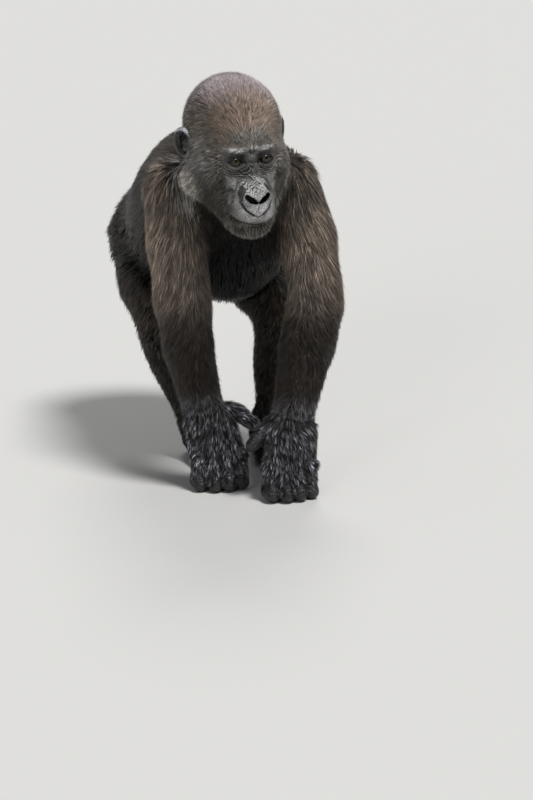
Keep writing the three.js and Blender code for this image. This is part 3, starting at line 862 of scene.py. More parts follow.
def meshFrom(name, points, faces):
    mesh = bpy.data.meshes.new(name)
    mesh.vertices.add(len(points))
    mesh.vertices.foreach_set("co", (points / metre).astype(np.float32).ravel())
    corners = faces.shape[1]
    mesh.loops.add(faces.size)
    mesh.loops.foreach_set("vertex_index", faces.astype(np.int32).ravel())
    mesh.polygons.add(len(faces))
    mesh.polygons.foreach_set("loop_start", np.arange(0, faces.size, corners, dtype=np.int32))
    mesh.polygons.foreach_set("loop_total", np.full(len(faces), corners, np.int32))
    mesh.polygons.foreach_set("use_smooth", np.ones(len(faces), bool))
    mesh.update()
    made = bpy.data.objects.new(name, mesh)
    bpy.context.scene.collection.objects.link(made)
    return made


def addNode(material, kind, inputs=None, **settings):
    # one node with its settings; an input is a value, or another node's output to link from
    node = material.node_tree.nodes.new(kind)
    for key, value in settings.items():
        setattr(node, key, value)
    for key, value in (inputs or {}).items():
        if isinstance(value, bpy.types.NodeSocket):
            material.node_tree.links.new(value, node.inputs[key])
        else:
            node.inputs[key].default_value = value
    return node


def newMaterial(name):
    material = bpy.data.materials.new(name)
    material.use_nodes = True
    material.node_tree.nodes.clear()
    return material


def finished(material, shader):
    addNode(material, "ShaderNodeOutputMaterial", {"Surface": shader.outputs[0]})
    return material


# the hands and feet are wet
wetness = {"trunk": 0, "neck": 0, "head": 0, "ear": 0, "upper_arm": 0.1, "forearm": 0.3, "hand": 1,
           "thigh": 0.2, "shank": 0.5, "foot": 1}

# living skin: slate-grey hide, creased and slightly oily, so it takes a broken soft shine
hide = {"ior": 1.45, "bare": 0.28, "wet": 0.2, "gloss": 0.6, "haired": 0.85, "creaseSize": 3.2, "poreSize": 0.8,
        "bump": 0.9, "creaseShade": 0.38}


def makeHide():
    m = newMaterial("slate_grey_hide")
    place = addNode(m, "ShaderNodeTexCoord").outputs["Object"]
    colour = addNode(m, "ShaderNodeAttribute", attribute_name="markingsAndPaintedLight").outputs["Color"]
    rough = addNode(m, "ShaderNodeAttribute", attribute_name="roughness").outputs["Fac"]
    cracks = addNode(m, "ShaderNodeTexVoronoi", {"Vector": place, "Scale": 1000 / hide["creaseSize"]},
                     feature="DISTANCE_TO_EDGE")
    blotches = addNode(m, "ShaderNodeTexNoise", {"Vector": place, "Scale": 90.0, "Detail": 4.0})
    pores = addNode(m, "ShaderNodeTexNoise", {"Vector": place, "Scale": 1000 / hide["poreSize"], "Detail": 3.0})
    tone = addNode(m, "ShaderNodeMapRange", {"Value": blotches.outputs["Fac"], "From Min": 0.3, "From Max": 0.7,
                                             "To Min": 0.62, "To Max": 1.42})
    lines = addNode(m, "ShaderNodeMapRange", {"Value": cracks.outputs["Distance"], "From Min": 0.0,
                                              "From Max": 0.22})
    darker = addNode(m, "ShaderNodeMapRange", {"Value": lines.outputs[0], "To Min": hide["creaseShade"],
                                               "To Max": 1.12})
    both = addNode(m, "ShaderNodeMath", {0: tone.outputs[0], 1: darker.outputs[0]}, operation="MULTIPLY")
    shade = addNode(m, "ShaderNodeVectorMath", {0: colour, "Scale": both.outputs[0]}, operation="SCALE")
    relief = addNode(m, "ShaderNodeMath", {0: lines.outputs[0], 1: pores.outputs["Fac"]}, operation="ADD")
    bump = addNode(m, "ShaderNodeBump", {"Height": relief.outputs[0], "Strength": hide["bump"],
                                         "Distance": 0.0005})
    return finished(m, addNode(m, "ShaderNodeBsdfPrincipled", {
        "Base Color": shade.outputs[0], "Roughness": rough, "IOR": hide["ior"],
        "Specular IOR Level": hide["gloss"], "Normal": bump.outputs[0]}))


hideMaterial = makeHide()
skin = meshFrom("skin", points, triangles)
skinShares = sharesAt(points)
skinBare = bareness(points, skinShares)
shaded = np.minimum(1 - skinBare, ramp(faceEdge(headPoints), -2, 8))  # painted shade: the skin is darkened where the coat is deep over it
skinColours = markingsAndPaintedLight(points, skinShares, skinBare) * (1 - 0.6 * shaded)[:, None]
skinColours *= (1.12 - 0.9 * ramp(folded, 0.05, 1.5))[:, None]  # and painted shade in its folds
pointAttribute(skin.data, "markingsAndPaintedLight", skinColours, "FLOAT_COLOR")
slick = hide["bare"] + (hide["wet"] - hide["bare"]) * byNode(skinShares, wetness)
slick -= 0.1 * near(mirrored(headPoints), (20, -73, 20), (20, 14, 5))
pointAttribute(skin.data, "roughness", hide["haired"] + (slick - hide["haired"]) * skinBare)
skin.data.materials.append(hideMaterial)
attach(skin, "root")
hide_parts(*fleshNodes)
print("skin dressed in its markings")

# the coat: each tuft is a slim closed spindle, combed along the lie of the hair
coatLength = {"trunk": 33, "neck": 19, "head": 12, "ear": 4, "upper_arm": 37, "forearm": 25, "hand": 13,
              "thigh": 28, "shank": 20, "foot": 8}
# the pieces of the coat: tufts, plain cones or not (for short hair), width in mm, how far tufts lean into
# locks and how many share one, how high they stand in the coat, how much they sway, and how their tones differ
coatColumns = ("count", "cone", "width", "clump", "cell", "lift", "sway", "contrast")
coatTable = {
    "coat_crown": (46000, True, 0.68, 0.14, 5, (0.5, 1.05), 0.2, 0.27),
    "coat_cheeks": (48000, True, 0.75, 0.4, 6, (0.5, 1.3), 0.22, 0.85),
    "coat_whiskers": (2600, True, 0.6, 0.0, 9, (1.0, 1.6), 0.35, 0.3),
    "coat_neck": (13000, False, 1.1, 0.18, 10, (0.5, 0.98), 0.15, 0.45),
    "coat_back": (31000, False, 1.3, 0.25, 10, (0.5, 1.0), 0.18, 0.45),
    "coat_belly": (14500, False, 1.5, 0.3, 12, (0.5, 1.0), 0.25, 0.4),
    "coat_arm_right": (32000, False, 0.9, 0.36, 6, (0.5, 1.0), 0.2, 0.52),
    "coat_arm_left": (32000, False, 0.9, 0.36, 6, (0.5, 1.0), 0.2, 0.52),
    "coat_legs": (24000, False, 1.3, 0.3, 12, (0.5, 1.0), 0.2, 0.45),
    "coat_hands": (44000, True, 0.8, 0.7, 5, (0.6, 1.6), 0.34, 1.2),
    "coat_feet": (14000, True, 1.0, 0.5, 8, (0.5, 1.4), 0.3, 0.7),
}
coatPieces = {name: dict(zip(coatColumns, row)) for name, row in coatTable.items()}
pieceNames = list(coatPieces)
headPieces = ("coat_crown", "coat_cheeks", "coat_whiskers")
tuft = {"vary": (0.7, 1.25), "whisker": (7, 13), "sink": 0.8, "proud": 0.8, "ringAt": 0.42, "ringRise": 0.6,
        "patch": 0.003, "stray": 0.05, "strayOut": 2.5, "strayRise": 0.85, "steepest": 0.62,
        "shoulderFlat": 0.3, "bulgeSteep": 0.25, "roll": 0.45, "oval": 0.75, "wetLocks": 1.35, "glintTone": 7,
        "tone": 3}


def pieceOf(points, shares):
    # which coat piece each place belongs to
    name = np.array(fleshNodes)[np.argmax(shares, 1)]
    p = toHead(points)
    onHead = np.char.startswith(name, "head") | np.char.startswith(name, "ear")
    onHead = onHead | (np.linalg.norm(p, axis=1) < 84)
    found = np.full(len(points), pieceNames.index("coat_back"))
    found[(name == "trunk") & (points[:, 2] < 345)] = pieceNames.index("coat_belly")
    pieceStarts = {"thigh": "legs", "shank": "legs", "neck": "neck", "upper_arm_right": "arm_right",
                   "forearm_right": "arm_right", "upper_arm_left": "arm_left", "forearm_left": "arm_left",
                   "hand": "hands", "foot": "feet"}
    for start, piece in pieceStarts.items():
        found[np.char.startswith(name, start)] = pieceNames.index(f"coat_{piece}")
    found[onHead] = pieceNames.index("coat_crown")
    found[onHead & ((p[:, 2] < 14) & (p[:, 1] < 30))] = pieceNames.index("coat_cheeks")
    return found


def middleOf(name):
    points, _ = nodeMesh(name)
    return points.mean(0)


limbParts = ("upper_arm", "forearm", "hand", "thigh", "shank", "foot")
limbSpots = {s: {part: middleOf(f"{part}_{s}") for part in limbParts} for s in sides}


def combing(points, normals, shares):
    # the lie of the coat: a direction along the skin at each place
    p = toHead(points)
    out = np.zeros_like(points)
    outward = np.zeros_like(points)
    outward[:, 0] = np.sign(points[:, 0])
    for i, node in enumerate(fleshNodes):
        kind, _, side = node.rpartition("_") if node.endswith(sides) else (node, "", None)
        way = np.zeros_like(points)
        if kind == "head":
            local = unit(p - np.array([0, -98, 2], np.float32))
            local[:, 2] -= 0.95 * ramp(np.abs(p[:, 0]), 28, 56) + 0.5 * ramp(p[:, 1], 10, 60)
            chin = ramp(-p[:, 2], 66, 92)[:, None]
            local = local * (1 - chin) + chin * np.array([0, -0.35, -1.0]) + chin * 0.8 * p * [0.012, 0, 0]
            way = local @ headAxes.T
        elif kind == "ear":
            way = unit(p - np.array([0, -30, -20], np.float32)) @ headAxes.T
        elif kind == "neck":
            way[:] = (0, 0.55, -0.75)
        elif kind == "trunk":
            way[:] = (0, 0.85, -0.35)
            way += ramp(-normals[:, 1], 0.2, 0.8)[:, None] * np.array([0, -0.7, -0.8])
            way[:, 2] -= 0.45 * np.abs(normals[:, 0])
        elif kind == "upper_arm":
            way[:] = unit(limbSpots[side]["forearm"] - limbSpots[side]["upper_arm"])
            way += 0.38 * outward + np.array([0, 0.22, 0])
        elif kind == "forearm":
            down = unit(limbSpots[side]["hand"] - limbSpots[side]["forearm"])
            upper = ramp(points[:, 2], 165, 235)[:, None]
            way = down + [0, 0.3, 0] + upper * (0.7 * outward + [0, 0.25, 0])
        elif kind == "hand":
            way = unit(points - (limbSpots[side]["hand"] + np.array([0, 12, 60]))) + np.array([0, -0.1, -0.9])
        elif kind in ("thigh", "shank"):
            way[:] = (0, 0.35, -0.9)
        elif kind == "foot":
            way[:] = (0, -0.8, -0.45)
        out += shares[:, i:i + 1] * way
    out -= normals * np.einsum("ij,ij->i", out, normals)[:, None]
    return unit(out)


def swayed(points, ways, normals, amount):
    # slow waves turn neighbouring tufts together, a little chance turns each one alone
    a = points / np.array([21.0, 26.0, 17.0])
    b = points / np.array([7.5, 9.0, 6.5])
    wave = np.sin(a[:, 0] + 1.7 * np.sin(a[:, 1] + a[:, 2]))
    wave += np.sin(a[:, 2] * 1.3 + 2.1 * np.sin(a[:, 0] * 1.1 + 1))
    wave += 0.7 * np.sin(b[:, 0] + 2.0 * np.sin(b[:, 2] + b[:, 1]))
    turn = (amount * (0.5 * wave + rng.normal(0, 0.45, len(points))))[:, None]
    across = np.cross(normals, ways)
    return unit(ways * np.cos(turn) + across * np.sin(turn))


def coatField(points):
    return sample(coatShape, points.astype(np.float32))


def heldTo(points, below):
    # moves points so that they lie that far under the coat's outline
    value, slope = slopeOf(coatField, points, 1.2)
    steep = np.maximum(np.linalg.norm(slope, axis=1), 0.5)
    move = np.clip((value + below) / steep, -9, 9)
    return points - unit(slope) * move[:, None]


def unwrapped(points, name):
    # each piece's own unwrap of the skin: round its axis, and along it, filling the square
    p = toHead(points) if name in headPieces else points
    if name == "coat_crown":
        way = unit(p - np.array([0, 10, 10]))
        angle = np.arctan2(way[:, 1], way[:, 0])
        reach = np.sqrt(np.clip(1 - way[:, 2], 0, 2) / 2) * 0.95
        return np.stack([0.5 + 0.5 * reach * np.cos(angle), 0.5 + 0.5 * reach * np.sin(angle)], 1)
    if name in ("coat_legs", "coat_hands", "coat_feet"):
        # the two sides take half of the square each
        part = {"coat_legs": "shank", "coat_hands": "hand", "coat_feet": "foot"}[name]
        uv = np.zeros((len(points), 2))
        for k, side in enumerate(sides):
            between = (limbSpots["right"][part][0] + limbSpots["left"][part][0]) / 2
            mine = (points[:, 0] > between) == (side == "left")
            middle = (limbSpots[side][part] + limbSpots[side]["thigh" if part == "shank" else part]) / 2
            away = points[mine] - middle
            uv[mine, 0] = (np.arctan2(away[:, 0], away[:, 1]) / math.tau + 0.5 + k) / 2
            uv[mine, 1] = away[:, 2]
    elif name in ("coat_back", "coat_belly"):
        away = p - p.mean(0)
        angle = np.arctan2(away[:, 0], away[:, 2] + (60 if name == "coat_back" else -60))
        uv = np.stack([angle / math.tau + 0.5, away[:, 1]], 1)
    else:
        away = p - p.mean(0)
        if "arm" in name:
            away[:, 1] -= away[:, 2] * np.polyfit(away[:, 2], away[:, 1], 1)[0]
        uv = np.stack([np.arctan2(away[:, 0], away[:, 1]) / math.tau + 0.5, away[:, 2]], 1)
    uv[:, 0] = (uv[:, 0] - uv[:, 0].min()) / np.ptp(uv[:, 0])
    uv[:, 1] = (uv[:, 1] - uv[:, 1].min()) / np.ptp(uv[:, 1])
    return 0.01 + 0.98 * uv


hair = {"root": 0.12, "tip": 3.2, "dry": 0.34, "wet": 0.16, "ior": 1.55, "gloss": 0.45}


def makeHair():
    # gorilla hair: coarse dark strands with a soft gloss; each strand is darkened towards its root as painted
    # shade deep in the coat, and paled towards its tip, partly weathered and partly as a painted sheen
    m = newMaterial("gorilla_hair")
    colour = addNode(m, "ShaderNodeAttribute", attribute_name="markingsAndPaintedLight").outputs["Color"]
    along = addNode(m, "ShaderNodeAttribute", attribute_name="along").outputs["Fac"]
    tone = addNode(m, "ShaderNodeAttribute", attribute_name="tone").outputs["Fac"]
    wetness = addNode(m, "ShaderNodeAttribute", attribute_name="wetness").outputs["Fac"]
    rough = addNode(m, "ShaderNodeMapRange", {"Value": wetness, "To Min": hair["dry"], "To Max": hair["wet"]})
    # painted shade at the roots, and paler tips that are partly a painted sheen
    fade = addNode(m, "ShaderNodeMapRange", {"Value": along, "From Min": 0.0, "From Max": 1.0,
                                             "To Min": hair["root"], "To Max": hair["tip"]})
    mixed = addNode(m, "ShaderNodeMath", {0: fade.outputs[0], 1: tone}, operation="MULTIPLY")
    shade = addNode(m, "ShaderNodeVectorMath", {0: colour, "Scale": mixed.outputs[0]}, operation="SCALE")
    return finished(m, addNode(m, "ShaderNodeBsdfPrincipled", {
        "Base Color": shade.outputs[0], "Roughness": rough.outputs[0], "IOR": hair["ior"],
        "Specular IOR Level": hair["gloss"]}))


hairMaterial = makeHair()


def locksOf(roots, cell):
    # tufts lean together into locks: each tuft's nearest leader
    seeds = rng.choice(len(roots), max(len(roots) // cell, 1), replace=False)
    tree = kdtree.KDTree(len(seeds))
    for k, seed in enumerate(seeds):
        tree.insert(roots[seed], k)
    tree.balance()
    return np.array([seeds[tree.find(r)[1]] for r in roots])


# a cone's and a spindle's triangles, and where their corners lie in the tuft's patch of the unwrap
coneForm = {"faces": np.array([(0, 2, 1), (3, 0, 1), (3, 1, 2), (3, 2, 0)]),
            "corner": np.array([(0.0, 0.1), (0.5, 0.3), (1.0, 0.1), (0.5, 1.0)])}
spindleForm = {"faces": np.array([(0, 2, 1), (0, 3, 2), (0, 1, 3), (4, 1, 2), (4, 2, 3), (4, 3, 1)]),
               "corner": np.array([(0.5, 0.0), (0.0, 0.5), (0.5, 0.5), (1.0, 0.5), (0.5, 1.0)])}


def tuftLengths(name, roots, shares, bare, bulging):
    p = toHead(roots)
    length = byNode(shares, coatLength) * rng.uniform(*tuft["vary"], len(roots))
    length *= 1 - 0.5 * ramp(-roots[:, 2], -190, -112) * (np.char.find(name, "arm") >= 0)
    length = length * (1 - 0.62 * bare)
    length = np.where(bulging, length * 0.7, length)
    q = mirrored(p)
    length *= 1 + 0.8 * near(q, (66, 4, -38), (22, 26, 22)) + 0.45 * near(q, (52, -8, -20), (24, 40, 46))
    length *= 1 + 0.9 * near(p, (62, -14, 8), (18, 20, 28))  # the left ear is half buried
    edge = faceEdge(p)
    length *= np.where(edge < 40, 0.24 + 0.76 * ramp(edge, -2, np.where(p[:, 2] < -80, 9, 17)), 1)
    if name == "coat_whiskers":
        length = rng.uniform(*tuft["whisker"], len(roots))
    return length


def combCoat(name, roots, rootNormals, spec):
    shares = sharesAt(roots)
    count = len(roots)
    p = toHead(roots)
    q, edge = mirrored(p), faceEdge(p)
    bare = bareness(roots, shares)
    buried = -sample(coatShape, roots.astype(np.float32))
    # where the hands' and feet's own forms stand proud of the coat
    bulging = (name in ("coat_hands", "coat_feet")) & (buried < tuft["proud"])
    length = tuftLengths(name, roots, shares, bare, bulging)
    depth = np.maximum(buried, 1.0 + 1.6 * byNode(shares, wetness))
    shoulder = ramp(roots[:, 2], 370, 410) * (name not in headPieces)
    steepest = np.where(bulging, tuft["bulgeSteep"], tuft["steepest"] - tuft["shoulderFlat"] * shoulder)
    rise = np.minimum(depth * rng.uniform(*spec["lift"], count), length * steepest)
    stray = rng.random(count) < tuft["stray"] * (1 - shoulder)
    strayRise = np.minimum(depth + rng.uniform(0, tuft["strayOut"], count), length * tuft["strayRise"])
    rise = np.where(stray, strayRise, rise)
    ruff = near(q, (66, -2, -38), (20, 24, 24))
    rise = rise + ruff * length * rng.uniform(0.0, 0.3, count)
    ways = swayed(roots, combing(roots, rootNormals, shares), rootNormals, spec["sway"])
    run = np.sqrt(np.maximum(length ** 2 - rise ** 2, (0.5 * length) ** 2))
    at = tuft["ringAt"]
    base = roots - rootNormals * tuft["sink"]
    middle = roots + ways * (run * at)[:, None] + rootNormals * (rise * tuft["ringRise"])[:, None]
    tip = roots + ways * run[:, None] + rootNormals * rise[:, None]
    lock = locksOf(roots, spec["cell"])
    pull = spec["clump"] * rng.uniform(0.6, 1.2, count)[:, None]
    tip += (tip[lock] - tip) * pull
    middle += (middle[lock] - middle) * pull * 0.4
    free = ((ruff > 0.1) | bulging | (name == "coat_whiskers"))[:, None]
    tip = np.where(free, tip, heldTo(tip, depth - rise))
    middle = np.where(free, middle, heldTo(middle, np.maximum(depth - rise * 0.62, 0)))
    forward = unit(tip - base)
    side = unit(np.cross(forward, rootNormals))
    over = np.cross(side, forward)
    roll = rng.normal(0, tuft["roll"], count)[:, None]
    side, over = side * np.cos(roll) + over * np.sin(roll), over * np.cos(roll) - side * np.sin(roll)
    half = (0.5 * spec["width"] * rng.uniform(*tuft["vary"], count) * (1 - 0.35 * bare))[:, None]
    foot = base if spec["cone"] else middle
    ring = [foot - side * half, foot + over * half * tuft["oval"], foot + side * half]
    verts, along = [base, *ring, tip], [0.0, at, at, at, 1.0]
    if spec["cone"]:
        verts, along = [*ring, tip], [0.0, 0.0, 0.0, 1.0]
    form = coneForm if spec["cone"] else spindleForm
    each = len(verts)
    faces = (form["faces"][None] + each * np.arange(count)[:, None, None]).reshape(-1, 3)
    made = meshFrom(name, np.stack(verts, 1).reshape(-1, 3), faces)
    mesh = made.data
    colours = markingsAndPaintedLight(roots, shares, np.minimum(bare, 0.75))
    if name == "coat_whiskers":
        colours[:] = linear(headColours["whiskers"])
    pointAttribute(mesh, "markingsAndPaintedLight", np.repeat(colours, each, 0), "FLOAT_COLOR")
    pointAttribute(mesh, "along", np.tile(along, count))
    contrast = spec["contrast"] + (0.45 * ramp(q[:, 0], 34, 56) if name == "coat_crown" else 0) + 0.3 * ruff
    contrast = contrast * (0.5 + 0.5 * ramp(edge, 4, 34))
    shared = tuft["wetLocks"] if name == "coat_hands" else 1.0  # wet hair darkens by whole locks, and its brightest locks are painted glints
    own = math.sqrt(2 - shared ** 2)
    spread = shared * rng.normal(0, 1, count)[lock] + own * rng.normal(0, 1, count)
    tone = np.exp(contrast * spread - contrast ** 2)
    # on the hands the tones reach high: painted glints on the wet hair
    tone = np.minimum(tone, tuft["glintTone"] if name == "coat_hands" else tuft["tone"])
    pointAttribute(mesh, "tone", np.repeat(tone, each))
    pointAttribute(mesh, "wetness", np.repeat(byNode(shares, wetness), each))
    uv = unwrapped(roots, name)[:, None, :] + form["corner"][None, :, :] * tuft["patch"]
    layer = mesh.uv_layers.new(name="OFBake")
    layer.data.foreach_set("uv", uv[:, form["faces"].ravel(), :].astype(np.float32).ravel())
    mesh.materials.append(hairMaterial)
    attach(made, "root")


def growCoat():
    corners = points[triangles]
    middles = corners.mean(1)
    crossed = np.cross(corners[:, 1] - corners[:, 0], corners[:, 2] - corners[:, 0])
    area = np.linalg.norm(crossed, axis=1) / 2
    shares = sharesAt(middles)
    cover = 1 - 0.97 * bareness(middles, shares)
    p = toHead(middles)
    edge = faceEdge(p)
    sparse = 0.4 * ramp(edge, -13, -1) * ramp(-p[:, 2], -12, 4) + 0.25 * ramp(-p[:, 2], 64, 78)
    cover = np.maximum(cover, np.where(edge < 10, sparse, 0))  # short hairs stray on to the cheeks and lips
    cover = np.where(middles[:, 2] < 4, 0, cover)
    piece = pieceOf(middles, shares)
    whiskered = (ramp(-p[:, 2], 62, 82) + 0.3 * ramp(-p[:, 2], 5, 40)) * ramp(edge, -13, -5) * (p[:, 1] < 5)
    whiskered = whiskered * (piece == pieceNames.index("coat_cheeks"))
    total = 0
    for k, (name, spec) in enumerate(coatPieces.items()):
        share = whiskered if name == "coat_whiskers" else cover * (piece == k)
        rows = np.nonzero(share > 0.01)[0]
        count = int(spec["count"] * (1.0))
        heap = np.cumsum(area[rows] * share[rows])
        picks = rows[np.searchsorted(heap, rng.random(count) * heap[-1])]
        a, b = rng.random((2, count))
        flip = a + b > 1
        a, b = np.where(flip, 1 - a, a), np.where(flip, 1 - b, b)
        weights = np.stack([1 - a - b, a, b], 1)[:, :, None]
        roots = (corners[picks] * weights).sum(1)
        rootNormals = unit((normals[triangles[picks]] * weights).sum(1))
        combCoat(name, roots, rootNormals, spec)
        total += count
        print(name, "combed:", count, "tufts over", int(area[rows].sum() / 100), "square centimetres")
    print("coat has", total, "tufts")


growCoat()

# eyes: brown, nearly all iris, with a clear bulging front and a wet shine
eyeLook = {"gaze": (-0.10, -0.90, 0.42), "radius": 10.5, "shrink": 0.012, "irisRadius": 6.6, "pupilRadius": 2.5,
           "bulge": 0.9, "rings": 56, "spokes": 72,
           "iris": "#221d0f", "irisInner": "#3b341b", "ring": "#0c0805", "white": "#171210", "pupil": "#030303"}


def makeEyeMaterial():
    # wet eyeball: the clear front gives one sharp highlight, the iris under it is fibrous
    m = newMaterial("wet_eyeball")
    away = addNode(m, "ShaderNodeAttribute", attribute_name="fromGaze").outputs["Fac"]
    turn = addNode(m, "ShaderNodeAttribute", attribute_name="roundGaze").outputs["Fac"]
    spot = addNode(m, "ShaderNodeCombineXYZ", {"X": away, "Y": turn})
    fibres = addNode(m, "ShaderNodeTexNoise", {"Vector": spot.outputs[0], "Scale": 1.0, "Detail": 3.0})
    ramped = addNode(m, "ShaderNodeValToRGB", {"Fac": away})
    stops = ramped.color_ramp
    edge = eyeLook["radius"]
    pupil, iris = (eyeLook[k] / edge for k in ("pupilRadius", "irisRadius"))
    stops.elements[0].position, stops.elements[1].position = 0.0, 1.0
    stops.elements[0].color = (*linear(eyeLook["pupil"]), 1)
    stops.elements[1].color = (*linear(eyeLook["white"]), 1)
    for at, name in ((pupil * 0.92, "pupil"), (pupil * 1.12, "irisInner"), (iris * 0.62, "iris"),
                     (iris * 0.9, "iris"), (iris, "ring"), (iris * 1.12, "ring"), (iris * 1.3, "white")):
        stop = stops.elements.new(at)
        stop.color = (*linear(eyeLook[name]), 1)
    streak = addNode(m, "ShaderNodeMapRange", {"Value": fibres.outputs["Fac"], "From Min": 0.3, "From Max": 0.7,
                                               "To Min": 0.65, "To Max": 1.4})
    shade = addNode(m, "ShaderNodeVectorMath", {0: ramped.outputs["Color"], "Scale": streak.outputs[0]},
                    operation="SCALE")
    return finished(m, addNode(m, "ShaderNodeBsdfPrincipled", {
        "Base Color": shade.outputs[0], "Roughness": 0.3, "IOR": 1.38, "Specular IOR Level": 0.1,
        "Coat Weight": 0.75, "Coat Roughness": 0.04}))


eyeMaterial = makeEyeMaterial()


def makeEye(side):
    gaze = unit(headAxes @ unit(np.array(eyeLook["gaze"])))
    across = unit(np.cross(gaze, [0, 0, 1.0]))
    over = np.cross(across, gaze)
    rings, spokes = eyeLook["rings"], eyeLook["spokes"]
    angles = np.linspace(0, math.pi, rings)
    turns = np.arange(spokes) * math.tau / spokes
    radius = eyeLook["radius"] * (1 - eyeLook["shrink"])
    cornea = math.asin((eyeLook["irisRadius"] + 0.4) / eyeLook["radius"])
    lift = eyeLook["bulge"] * np.clip(1 - (angles / cornea) ** 2, 0, 1) ** 1.4
    away = (radius + lift)[:, None, None]
    flat = np.cos(turns)[None, :, None] * across + np.sin(turns)[None, :, None] * over
    way = np.cos(angles)[:, None, None] * gaze + np.sin(angles)[:, None, None] * flat
    spots = eyeCentres[side] + away * way
    verts = np.concatenate([spots[:1, 0], spots[1:-1].reshape(-1, 3), spots[-1:, 0]])

    def number(ring, spoke):
        return 1 + (ring - 1) * spokes + spoke % spokes

    faces = []
    for spoke in range(spokes):
        faces.append((0, number(1, spoke), number(1, spoke + 1)))
        faces.append((len(verts) - 1, number(rings - 2, spoke + 1), number(rings - 2, spoke)))
        for ring in range(1, rings - 2):
            a, b = number(ring, spoke), number(ring, spoke + 1)
            c, d = number(ring + 1, spoke + 1), number(ring + 1, spoke)
            faces += [(a, d, c), (a, c, b)]
    made = meshFrom(f"eyeball_{side}", verts, np.array(faces))
    fromGaze = np.where(angles < math.pi / 2, np.sin(angles), 1.0)[1:-1]
    away = np.concatenate([[0], np.repeat(fromGaze, spokes), [1]])
    pointAttribute(made.data, "fromGaze", away)
    turn = np.tile(np.abs(turns - math.pi) * 14, rings - 2)
    pointAttribute(made.data, "roundGaze", np.concatenate([[0], turn, [0]]))
    made.data.materials.append(eyeMaterial)
    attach(made, "root")
    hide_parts(f"eye_{side}")


for side in sides:
    makeEye(side)
print("eyes set")

# nails: curved plates on the thumbs and toes; the fingers are folded under
footShape = {"right": {"ball": (39.15, 49.3), "ahead": (-0.0594, -0.998, 0), "inward": (0.998, -0.0594, 0)},
             "left": {"ball": (45.95, 49.3), "ahead": (0.0233, -1.0, 0), "inward": (-1.0, -0.0233, 0)}}
toes = {"toe1": (30, 11.5, 9), "toe2": (15.9, 8.5, 8), "toe3": (3.2, 8.5, 8), "toe4": (-9.5, 8.5, 7.5),
        "toe5": (-20.6, 8.5, 6.5)}  # across the foot, height and nail width
nail = {"thick": 0.5, "dome": 0.35, "across": 9, "along": 8, "startsOut": 14, "deepest": 22, "lowest": 1.5,
        "colour": "#1d1b1c", "roughness": 0.22, "ior": 1.54}


def makeNailMaterial():
    # horn: near-black and polished by wear, with faint lengthwise streaks
    m = newMaterial("black_horn")
    place = addNode(m, "ShaderNodeTexCoord").outputs["Object"]
    streaks = addNode(m, "ShaderNodeTexNoise", {"Vector": place, "Scale": 900.0, "Detail": 2.0})
    tone = addNode(m, "ShaderNodeMapRange", {"Value": streaks.outputs["Fac"], "To Min": 0.6, "To Max": 1.5})
    shade = addNode(m, "ShaderNodeVectorMath", {0: linear(nail["colour"]), "Scale": tone.outputs[0]},
                    operation="SCALE")
    return finished(m, addNode(m, "ShaderNodeBsdfPrincipled", {
        "Base Color": shade.outputs[0], "Roughness": nail["roughness"], "IOR": nail["ior"]}))


nailMaterial = makeNailMaterial()


def makeNail(name, tip, along, out, wide):
    along = unit(np.array(along, float))
    out = unit(np.array(out, float) - along * (np.array(out, float) @ along))
    across = np.cross(along, out)
    rows, columns = nail["across"], nail["along"]
    spread = np.meshgrid(np.linspace(-1, 1, rows), np.linspace(-1, 1, columns), indexing="ij")
    u, v = (g.ravel() for g in spread)
    narrow = np.sqrt(1 - 0.55 * np.abs(v) ** 3)
    start = np.array(tip) + across * (u * narrow * wide / 2)[:, None] + along * (v * wide * 0.48)[:, None]
    start = start + out * nail["startsOut"]
    sunk = np.zeros(len(start))
    for _ in range(12):
        value, slope = slopeOf(skinField, (start - out * sunk[:, None]).astype(np.float32))
        sunk = np.clip(sunk + value / np.maximum(slope @ out, 0.45), 0, nail["deepest"])
    print(name, "laid on the skin within", round(float(np.abs(value).max()), 2), "mm")
    spots = start - out * sunk[:, None]
    spots[:, 2] = np.maximum(spots[:, 2], nail["lowest"])  # clear of the ground
    rise = nail["thick"] + nail["dome"] * (1 - u ** 2) * (1 - v ** 2)
    top, bottom = spots + out * rise[:, None], spots - out * nail["thick"]
    number = np.arange(rows * columns).reshape(rows, columns)
    a, b, c, d = (n.ravel() for n in (number[:-1, :-1], number[1:, :-1], number[1:, 1:], number[:-1, 1:]))
    under = rows * columns
    rim = np.concatenate([number[:, 0], number[-1, 1:], number[-2::-1, -1], number[0, -2:0:-1]])
    following = np.roll(rim, -1)
    faces = np.concatenate([np.stack([a, b, c, d], 1), np.stack([d, c, b, a], 1) + under,
                            np.stack([rim, rim + under, following + under, following], 1)])
    made = meshFrom(name, np.concatenate([top, bottom]), faces)
    made.data.materials.append(nailMaterial)
    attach(made, "root")


for side in sides:
    bend, tip = (knuckleSpot(side) + place for place in handShape[side]["thumb"][1:])
    outward = (0.25 * handShape[side]["inward"], -0.75, 0.6)
    makeNail(f"thumb_nail_{side}", tip + unit(tip - bend) * 3, tip - bend, outward, 9.5)
    low = np.array(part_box(f"foot_{side}")[0]) * metre
    ahead, inward = (np.array(footShape[side][k]) for k in ("ahead", "inward"))
    for toe, (aside, height, wide) in toes.items():
        pad = low + [*footShape[side]["ball"], height]
        fromBall = points - pad
        ofToe = (np.abs(fromBall @ inward - aside) < 3) & (np.abs(fromBall[:, 2]) < 4)
        ofToe = ofToe & (np.abs(fromBall @ ahead) < 60)
        foremost = (fromBall[ofToe] @ ahead).max()
        tip = pad + inward * aside + ahead * (foremost - 0.9 * wide)
        makeNail(f"{toe}_nail_{side}", tip, ahead - [0, 0, 0.45], [0, 0, 1.0], wide)
print("nails set")

